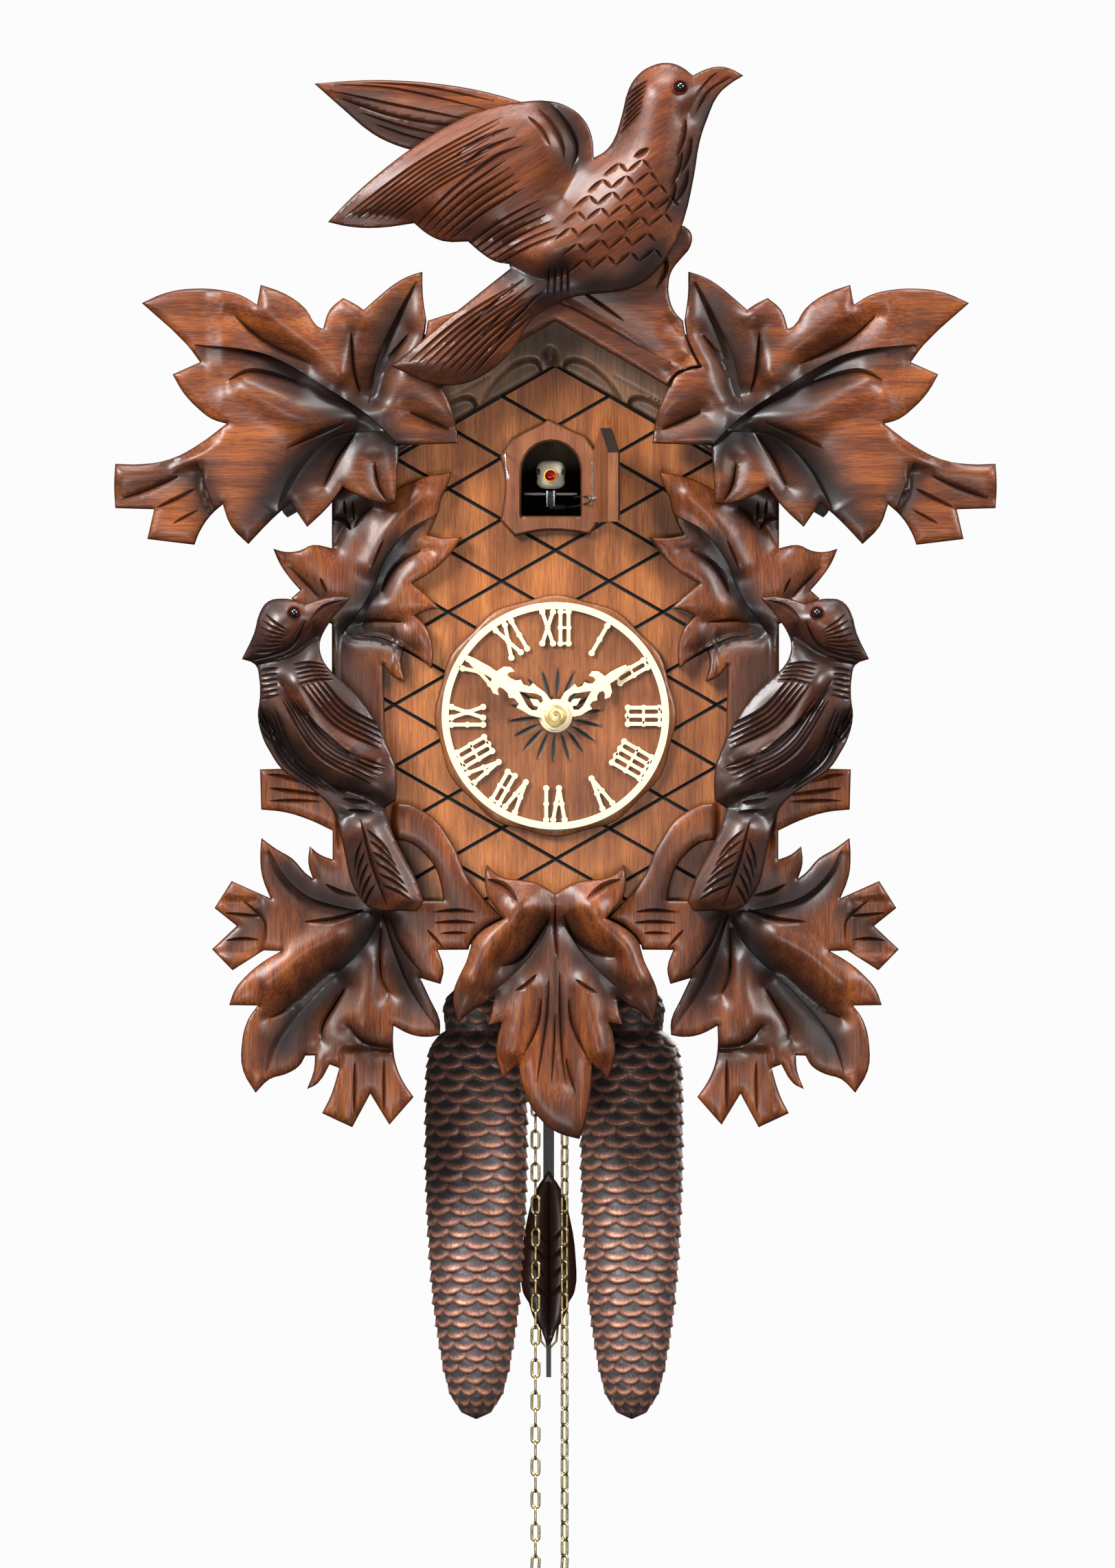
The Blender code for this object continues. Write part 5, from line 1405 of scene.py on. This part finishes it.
cuckooLook = {      # place and half sizes of each block, then how square it is
    "head": ((-2.0, -108.5, 105.8), (6.4, 7.2, 6.4), 0.62),
    "trunk": ((-2.0, -101.5, 104.6), (5.2, 9.5, 5.2), 0.85),
    "tailFeathers": ((-2.0, -93.0, 106.0), (3.2, 4.8, 1.3), 0.7),
    "eyes": {"Left": -7.3, "Right": 3.0}, "legs": (-3.7, -0.6),
    "beak": (-2.2, -115.2, 105.1), "throat": 2.35, "throatFront": -120.0,
}
cuckoo = joined("cuckooBird", [
    blob(part, *cuckooLook[part], finish["birdPaint"], shape=headShape if part == "head" else None)
    for part in ("head", "trunk", "tailFeathers")])
fitPiece(cuckoo, "cuckoo", "cuckoo_paint", "cuckoo_body")
for word, x in cuckooLook["eyes"].items():
    eye = blob("cuckooEye" + word, (x, -114.6, 106.8), (0.75, 0.7, 1.35), 1.0, finish["eyeBlack"], 20, 12)
    fitPiece(eye, "cuckoo", "eye_glaze")
beakProfile = [(2.9, 0.0), (3.0, -3.0), (2.85, -4.4), (2.4, -4.7), (2.1, -4.0), (1.9, -2.2), (0.2, -1.4)]
beakX, _, beakZ = cuckooLook["beak"]
beakOut = lathe("cuckooBeak", beakProfile, cuckooLook["beak"], "y", finish["beakOrange"])
beakOut.data.materials.append(finish["beakRed"])
for poly in beakOut.data.polygons:          # the open throat is red
    away = math.hypot(poly.center.x * 1000 - beakX, poly.center.z * 1000 - beakZ)
    if away < cuckooLook["throat"] and poly.center.y * 1000 > cuckooLook["throatFront"]:
        poly.material_index = 1
fitPiece(beakOut, "cuckoo", "beak_paint", "cuckoo_beak")
tongue = blob("beakTongue", (-2.2, -117.6, 104.4), (1.5, 1.2, 0.6), 0.9, finish["beakRed"], 24, 12)
fitPiece(tongue, "cuckoo", "beak_paint")
for i, x in enumerate(cuckooLook["legs"]):
    leg = lathe("cuckooLeg" + str(i), [(0.75, 91.6), (0.75, 97.9), (0.9, 98.6)], (x, -107.5, 0), "z",
                finish["steel"], 20)
    fitPiece(leg, "carrier", "steel")
print("door and cuckoo made")


weightLook = {"scales": 10, "rowPitch": 4.95, "relief": 2.2, "segments": 180, "rows": 400,
              "foot": -309.4, "top": -116.6, "lipDrop": 0.42, "overlap": 1.5}
coneProfile = [(-309.4, 0.4), (-306.5, 6.8), (-299.5, 11.8), (-289, 15.0), (-276, 17.4), (-260, 19.8),
               (-242, 21.4),
               (-222, 22.6), (-200, 23.4), (-168, 23.4), (-154, 23.0), (-146, 21.3), (-141, 17.5),
               (-138.5, 13.9),
               (-134, 14.6), (-128, 15.0), (-123.5, 13.5), (-119.5, 9.0), (-117.2, 5.5), (-116.6, 0.4)]


def coneMaterial():
    mat, nodes, links, shader = newMaterial("bronzedIron")
    rub = nodes.new("ShaderNodeAttribute")
    rub.attribute_name = "carveShade"
    where = placed(nodes, links, (1000,) * 3)
    grit = noise(nodes, links, where, 0.9, 6.0, 0.7)
    cloud = noise(nodes, links, where, 0.06, 3.0, 0.6)
    worn = nodes.new("ShaderNodeMath")
    worn.operation = "MULTIPLY"
    links.new(rub.outputs["Fac"], worn.inputs[0])
    links.new(mapRange(nodes, links, grit, 0.3, 0.62, 0.25, 1.25), worn.inputs[1])
    copper = mixColour(nodes, links, mapRange(nodes, links, cloud, 0.3, 0.7, 0.0, 1.0),
                       (0.74, 0.34, 0.22), (0.55, 0.24, 0.15))
    base = mixColour(nodes, links, mapRange(nodes, links, grit, 0.35, 0.65, 0.0, 1.0),
                     (0.040, 0.038, 0.044), (0.10, 0.078, 0.078))
    links.new(mixColour(nodes, links, worn.outputs[0], base, copper), shader.inputs["Base Color"])
    links.new(mapRange(nodes, links, grit, 0.3, 0.7, 0.55, 0.38), shader.inputs["Roughness"])
    shader.inputs["Metallic"].default_value = 0.45
    addBump(nodes, links, shader, grit, 0.5, 0.0003)
    return mat


finish["bronzedIron"] = coneMaterial()


def coneWeight(name, x, depth):
    # a fir cone of overlapping scales, cast round a plain core
    zs = np.linspace(weightLook["foot"], weightLook["top"], weightLook["rows"])
    radii = np.interp(zs, [p[0] for p in coneProfile], [p[1] for p in coneProfile])
    turns = np.linspace(0, 2 * np.pi, weightLook["segments"], endpoint=False)
    pitch, count = weightLook["rowPitch"], weightLook["scales"]
    gridZ, gridT = np.meshgrid(zs, turns, indexing="ij")
    core = radii[:, None] * np.ones_like(gridT)
    swell = np.zeros_like(gridT)
    rub = np.zeros_like(gridT)
    for offset in (0, 1, 2):
        # each scale is a lens that bulges down: its lower lip stands out, its top tucks under
        row = np.floor((-gridZ) / pitch) - offset
        lip = -(row + 1.0) * pitch
        phase = gridT / (2 * np.pi) * count + 0.5 * (row % 2) + 0.07 * np.sin(row * 2.3)
        across = 2 * (phase - np.floor(phase)) - 1
        bottom = lip - weightLook["lipDrop"] * pitch * (1 - np.abs(across) ** 2.2)
        up = (gridZ - bottom) / (weightLook["overlap"] * pitch)
        inside = (up > 0) & (up < 1)
        body = np.where(inside, np.clip(up / 0.10, 0, 1) ** 0.6 * (1 - up) ** 0.9
                        * (1 - 0.72 * np.abs(across) ** 2.4), 0)
        swell = np.maximum(swell, body)
        lipRub = np.where(inside, np.exp(-((up - 0.17) / 0.17) ** 2) * (1 - 0.55 * np.abs(across) ** 2), 0)
        rub = np.where(body >= swell - 1e-9, lipRub, rub)
    fade = np.interp(gridZ, [-309.4, -304, -152, -140, -136], [0.3, 1, 1, 0.45, 0.6])
    size = np.clip(core / 20, 0.3, 1)
    spread = np.clip(core - weightLook["relief"] * fade * size * (1 - swell), 0.3, None)
    wobble = 0.12 * np.sin(gridT * 7 + gridZ * 0.9) * np.sin(gridZ * 0.37 + gridT * 3)
    spread = np.minimum(spread + wobble, np.maximum(core, 0.3))
    verts = np.column_stack([(x + spread * np.cos(gridT)).ravel(),
                             (-depth + spread * np.sin(gridT)).ravel(),
                             gridZ.ravel()]) * mm
    n, segs = len(zs), len(turns)
    i, j = np.meshgrid(np.arange(n - 1), np.arange(segs), indexing="ij")
    k = (j + 1) % segs
    faces = np.column_stack([(i * segs + j).ravel(), (i * segs + k).ravel(), ((i + 1) * segs + k).ravel(),
                             ((i + 1) * segs + j).ravel()])
    mesh = bpy.data.meshes.new(name)
    caps = [tuple(range(segs))[::-1], tuple((n - 1) * segs + q for q in range(segs))]
    mesh.from_pydata(verts.tolist(), [], [tuple(f) for f in faces.tolist()] + caps)
    mesh.shade_smooth()
    layer = mesh.attributes.new("carveShade", "FLOAT", "POINT")
    layer.data.foreach_set("value", np.clip(rub * fade, 0, 1).ravel().astype(np.float32))
    return addObject(name, mesh, [finish["bronzedIron"]])


for word in ("Left", "Right"):
    low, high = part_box("weight_" + word.lower())
    cx, cy = (low[0] + high[0]) * 500, -(low[1] + high[1]) * 500
    cone = coneWeight("weight" + word, cx, cy)
    fitPiece(cone, "drive_" + word.lower(), "bronzed_iron", "weight_" + word.lower())
print("weights made")


chain = {"pitch": 7.2, "outerLong": 9.0, "outerWide": 4.4, "wire": 0.62, "along": 16, "around": 6}
drives = {
    "Left": {"weightX": -34.9, "freeX": -8.8, "wheelX": -21.75},
    "Right": {"weightX": 33.6, "freeX": 4.0, "wheelX": 20.45},
}
chainDepth, wheelRadius, wheelZ = 56.0, 13.15, -28.0
hank = {"top": -384.0, "middle": 56.0, "radius": 21.1, "pitch": 4.5, "run": 64.0, "turns": 4, "layer": 2.65}


def linkShape():
    # one chain link about the origin, long along its first axis and flat across its second
    half = (chain["outerWide"] / 2) - chain["wire"]
    run = chain["outerLong"] / 2 - chain["wire"] - half
    centres = []
    count = chain["along"] // 2
    for i in range(count):
        t = math.pi * i / (count - 1) - math.pi / 2
        centres.append((run + half * math.cos(t), half * math.sin(t)))
    for i in range(count):
        t = math.pi * i / (count - 1) + math.pi / 2
        centres.append((-run + half * math.cos(t), half * math.sin(t)))
    centres = np.array(centres)
    total = len(centres)
    tangent = np.roll(centres, -1, axis=0) - np.roll(centres, 1, axis=0)
    tangent /= np.linalg.norm(tangent, axis=1)[:, None]
    outward = np.column_stack([tangent[:, 1], -tangent[:, 0]])
    verts = []
    for i in range(total):
        for t in around(chain["around"]):
            flat = centres[i] + outward[i] * chain["wire"] * math.cos(t)
            verts.append((flat[0], flat[1], chain["wire"] * math.sin(t)))
    return np.array(verts), np.array(ringFaces(total, chain["around"], closed=True))


def evenly(points, step):
    points = np.array(points, float)
    gaps = np.linalg.norm(np.diff(points, axis=0), axis=1)
    where = np.concatenate([[0], np.cumsum(gaps)])
    spots = np.arange(0, where[-1], step)
    return np.column_stack([np.interp(spots, where, points[:, i]) for i in range(3)]), where[-1]


def linkedChain(name, points, firstRoll=0.0):
    # links laid along the points, each turned a quarter from the last
    shape, shapeFaces = linkShape()
    spots, length = evenly(points, chain["pitch"])
    tangent = np.gradient(spots, axis=0)
    tangent /= np.linalg.norm(tangent, axis=1)[:, None]
    normal = np.array([1.0, 0.0, 0.0])
    verts, faces = [], []
    for i, (spot, way) in enumerate(zip(spots, tangent)):
        normal = normal - way * np.dot(normal, way)
        size = np.linalg.norm(normal)
        normal = normal / size if size > 1e-6 else np.array([0.0, 1.0, 0.0])
        other = np.cross(way, normal)
        roll = firstRoll + (math.pi / 2 if i % 2 else 0.0)
        a = normal * math.cos(roll) + other * math.sin(roll)
        b = np.cross(way, a)
        basis = np.stack([way, a, b])
        faces.append(shapeFaces + len(verts) * len(shape))
        verts.append(spot + shape @ basis)
    allVerts = np.vstack(verts) * mm
    mesh = bpy.data.meshes.new(name)
    mesh.from_pydata(allVerts.tolist(), [], np.vstack(faces).tolist())
    mesh.shade_smooth()
    return addObject(name, mesh, [finish["chainBrass"]]), length


def hankPath(x):
    # the rest of the chain: two layers of flat folds, wound in and then out again
    middle, low = hank["middle"], hank["top"] - 2.5 - hank["radius"]
    points = []
    turnsEach, arcs = hank["turns"], 10
    for layer in (0, 1):
        for lap in range(turnsEach):
            for part in range(2 * arcs):
                share = (lap + part / (2 * arcs)) / turnsEach
                share = share if layer == 0 else 1 - share
                radius = hank["radius"] - hank["pitch"] * (turnsEach - 1) * share
                angle = math.pi / 2 + math.pi * part / arcs
                upper = part < arcs / 2 or part >= 1.5 * arcs
                z = (low if upper else low - hank["run"]) + radius * math.sin(angle)
                points.append((x + (-hank["layer"] if layer == 0 else hank["layer"]),
                               -(middle - radius * math.cos(angle)), z))
    return points


for word, place in drives.items():
    toFree = 1 if place["weightX"] < 0 else -1
    over = [(place["wheelX"] - toFree * wheelRadius * math.cos(math.pi * i / 12), -chainDepth,
             wheelZ + 2 + wheelRadius * math.sin(math.pi * i / 12)) for i in range(13)]
    down = [(place["freeX"], -chainDepth, z) for z in np.linspace(-40, hank["top"] + 6, 30)]
    route = over + down + hankPath(place["freeX"])
    free, length = linkedChain("freeChain" + word, route, 0.0 if word == "Left" else math.pi / 4)
    print("free chain", word, round(length))
    fitPiece(free, "case", "polished_brass", "free_chain_" + word.lower(), "chain_hank_" + word.lower())
    up = [(place["weightX"], -chainDepth, z) for z in np.linspace(-115.5, -27.5, 20)]
    held, _ = linkedChain("weightChain" + word, up, math.pi / 4)
    fitPiece(held, "drive_" + word.lower(), "polished_brass", "weight_chain_" + word.lower())
    hook = [(place["weightX"] + 3.0 * math.cos(t), -chainDepth, -116.5 + 3.0 * math.sin(t))
            for t in np.linspace(0, 2 * math.pi, 20, endpoint=False)]
    ring = tube("weightHook" + word, hook, 0.7, finish["darkSteel"], closed=True)
    fitPiece(ring, "drive_" + word.lower(), "steel")
print("chains made")


bobRelief = {
    "hollows": [(1.2, 3.0, [(-3, -206), (-3, -240), (-3, -274)])],
    "darks": [(0.4, 3.0, [(-3, -206), (-3, -240), (-3, -274)])],
    "cuts": [gouge([(-3, -205), (-3, -240), (-3, -275)], 0.9, 0.8),
             *[gouge([(-3 + s * 1, -232 - 8 * i), (-3 + s * 5, -228 - 8 * i),
                      (-3 + s * 9, -226 - 8 * i)], 0.9, 0.6)
               for s in (-1, 1) for i in range(4)]],
}
carve("pendulumBob", "pendulum_bob", bobRelief, "bobWood", body="bob", slotName="black_stain", shift=0,
      edge=(1.2, 2.4), rim=(0.5, 0.4), lowest=1.5)
clip = tube("bobClip", [(-6.6, -23.4, -268), (-7.0, -20.6, -270), (-6.4, -19.9, -276), (-3.0, -19.6, -280),
                        (0.4, -19.9, -276), (1.0, -20.6, -270), (0.6, -23.4, -268)], 0.55, finish["brass"])
fitPiece(clip, "bob", "polished_brass")


kept = {
    "caseWood": ["side_panel_left", "side_panel_right", "bottom_board"],
    "plyBack": ["back_panel", "bellows_left", "bellows_right"],
    "blackStain": ["roof_left", "roof_right", "pendulum_rod"],
    "brass": ["front_plate", "back_plate", "time_great_wheel", "strike_great_wheel", "centre_wheel",
              "escape_wheel"],
    "steel": ["hanging_plate", "back_latch_left", "back_latch_right", "anchor", "fly", "gong_hammer"],
    "darkSteel": ["gong", "cuckoo_carrier"],
    "cloth": ["bellows_top_left", "bellows_top_right"],
}
for look, names in kept.items():
    for name in names:
        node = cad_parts[name]
        node.data.materials.clear()
        node.data.materials.append(finish[look])
print("kept nodes finished")


studio = {"paleness": 0.97, "floorZ": -1.4, "distance": 9.0, "middleZ": -0.0298, "middleX": 0.0009,
          "width": 0.4872}
floor = meshObject("floor", [(x, y, studio["floorZ"]) for x, y in ((-6, -6), (6, -6), (6, 6), (-6, 6))],
                   [(0, 1, 2, 3)], [], smooth=False)
pale, _, _, paleShader = newMaterial("paleStudio")
paleShader.inputs["Base Color"].default_value = (0.9, 0.9, 0.9, 1)
paleShader.inputs["Roughness"].default_value = 0.9
paleShader.inputs["Emission Color"].default_value = (1, 1, 1, 1)
paleShader.inputs["Emission Strength"].default_value = 0.9
floor.data.materials.append(pale)
floor.visible_diffuse = floor.visible_glossy = False

world = bpy.data.worlds.new("studioWorld")
bpy.context.scene.world = world
world.use_nodes = True
world.node_tree.nodes["Background"].inputs[0].default_value = (1.0, 0.99, 0.97, 1)
world.node_tree.nodes["Background"].inputs[1].default_value = 0.06
# the surroundings look pale from every side, and light the clock only a little
around = world.node_tree
paleAround = around.nodes.new("ShaderNodeBackground")
paleAround.inputs[0].default_value = (1, 1, 1, 1)
paleAround.inputs[1].default_value = studio["paleness"]
pick = around.nodes.new("ShaderNodeMixShader")
sight = around.nodes.new("ShaderNodeLightPath")
around.links.new(sight.outputs["Is Camera Ray"], pick.inputs[0])
around.links.new(around.nodes["Background"].outputs[0], pick.inputs[1])
around.links.new(paleAround.outputs[0], pick.inputs[2])
around.links.new(pick.outputs[0], around.nodes["World Output"].inputs[0])


def softLight(name, place, target, size, power):
    data = bpy.data.lights.new(name, "AREA")
    data.shape = "RECTANGLE"
    data.size, data.size_y = size
    data.energy = power
    obj = bpy.data.objects.new(name, data)
    obj.location = place
    obj.rotation_euler = (Vector(target) - Vector(place)).to_track_quat("-Z", "Y").to_euler()
    bpy.context.scene.collection.objects.link(obj)
    return obj


lights = {          # place, target, size, power
    "keyLight": ((-1.25, -1.5, 1.1), (0, -0.1, 0.0), (0.6, 0.8), 78),
    "fillLight": ((1.5, -1.2, 0.7), (0, -0.1, 0.0), (0.45, 0.8), 34),
    "topLight": ((0.1, -0.8, 1.7), (0, -0.1, 0.1), (1.1, 0.35), 30),
    "frontLight": ((-0.2, -2.4, -0.55), (0, -0.05, -0.22), (0.8, 0.5), 16),
    "backLight": ((0.9, 2.2, 0.8), (0, 0, 0), (1.4, 1.4), 40),
}
for name, settings in lights.items():
    softLight(name, *settings)

cameraData = bpy.data.cameras.new("camera")
camera = bpy.data.objects.new("camera", cameraData)
bpy.context.scene.collection.objects.link(camera)
camera.location = (studio["middleX"], -studio["distance"] - 0.13, studio["middleZ"])
camera.rotation_euler = (math.pi / 2, 0, 0)
cameraData.sensor_fit = "VERTICAL"
cameraData.sensor_height = 36.0
viewHeight = studio["width"] * 2283 / 1624
cameraData.lens = cameraData.sensor_height * studio["distance"] / viewHeight
cameraData.clip_end = 30
bpy.context.scene.camera = camera
bpy.context.scene.view_settings.view_transform = "Standard"
print("studio set")
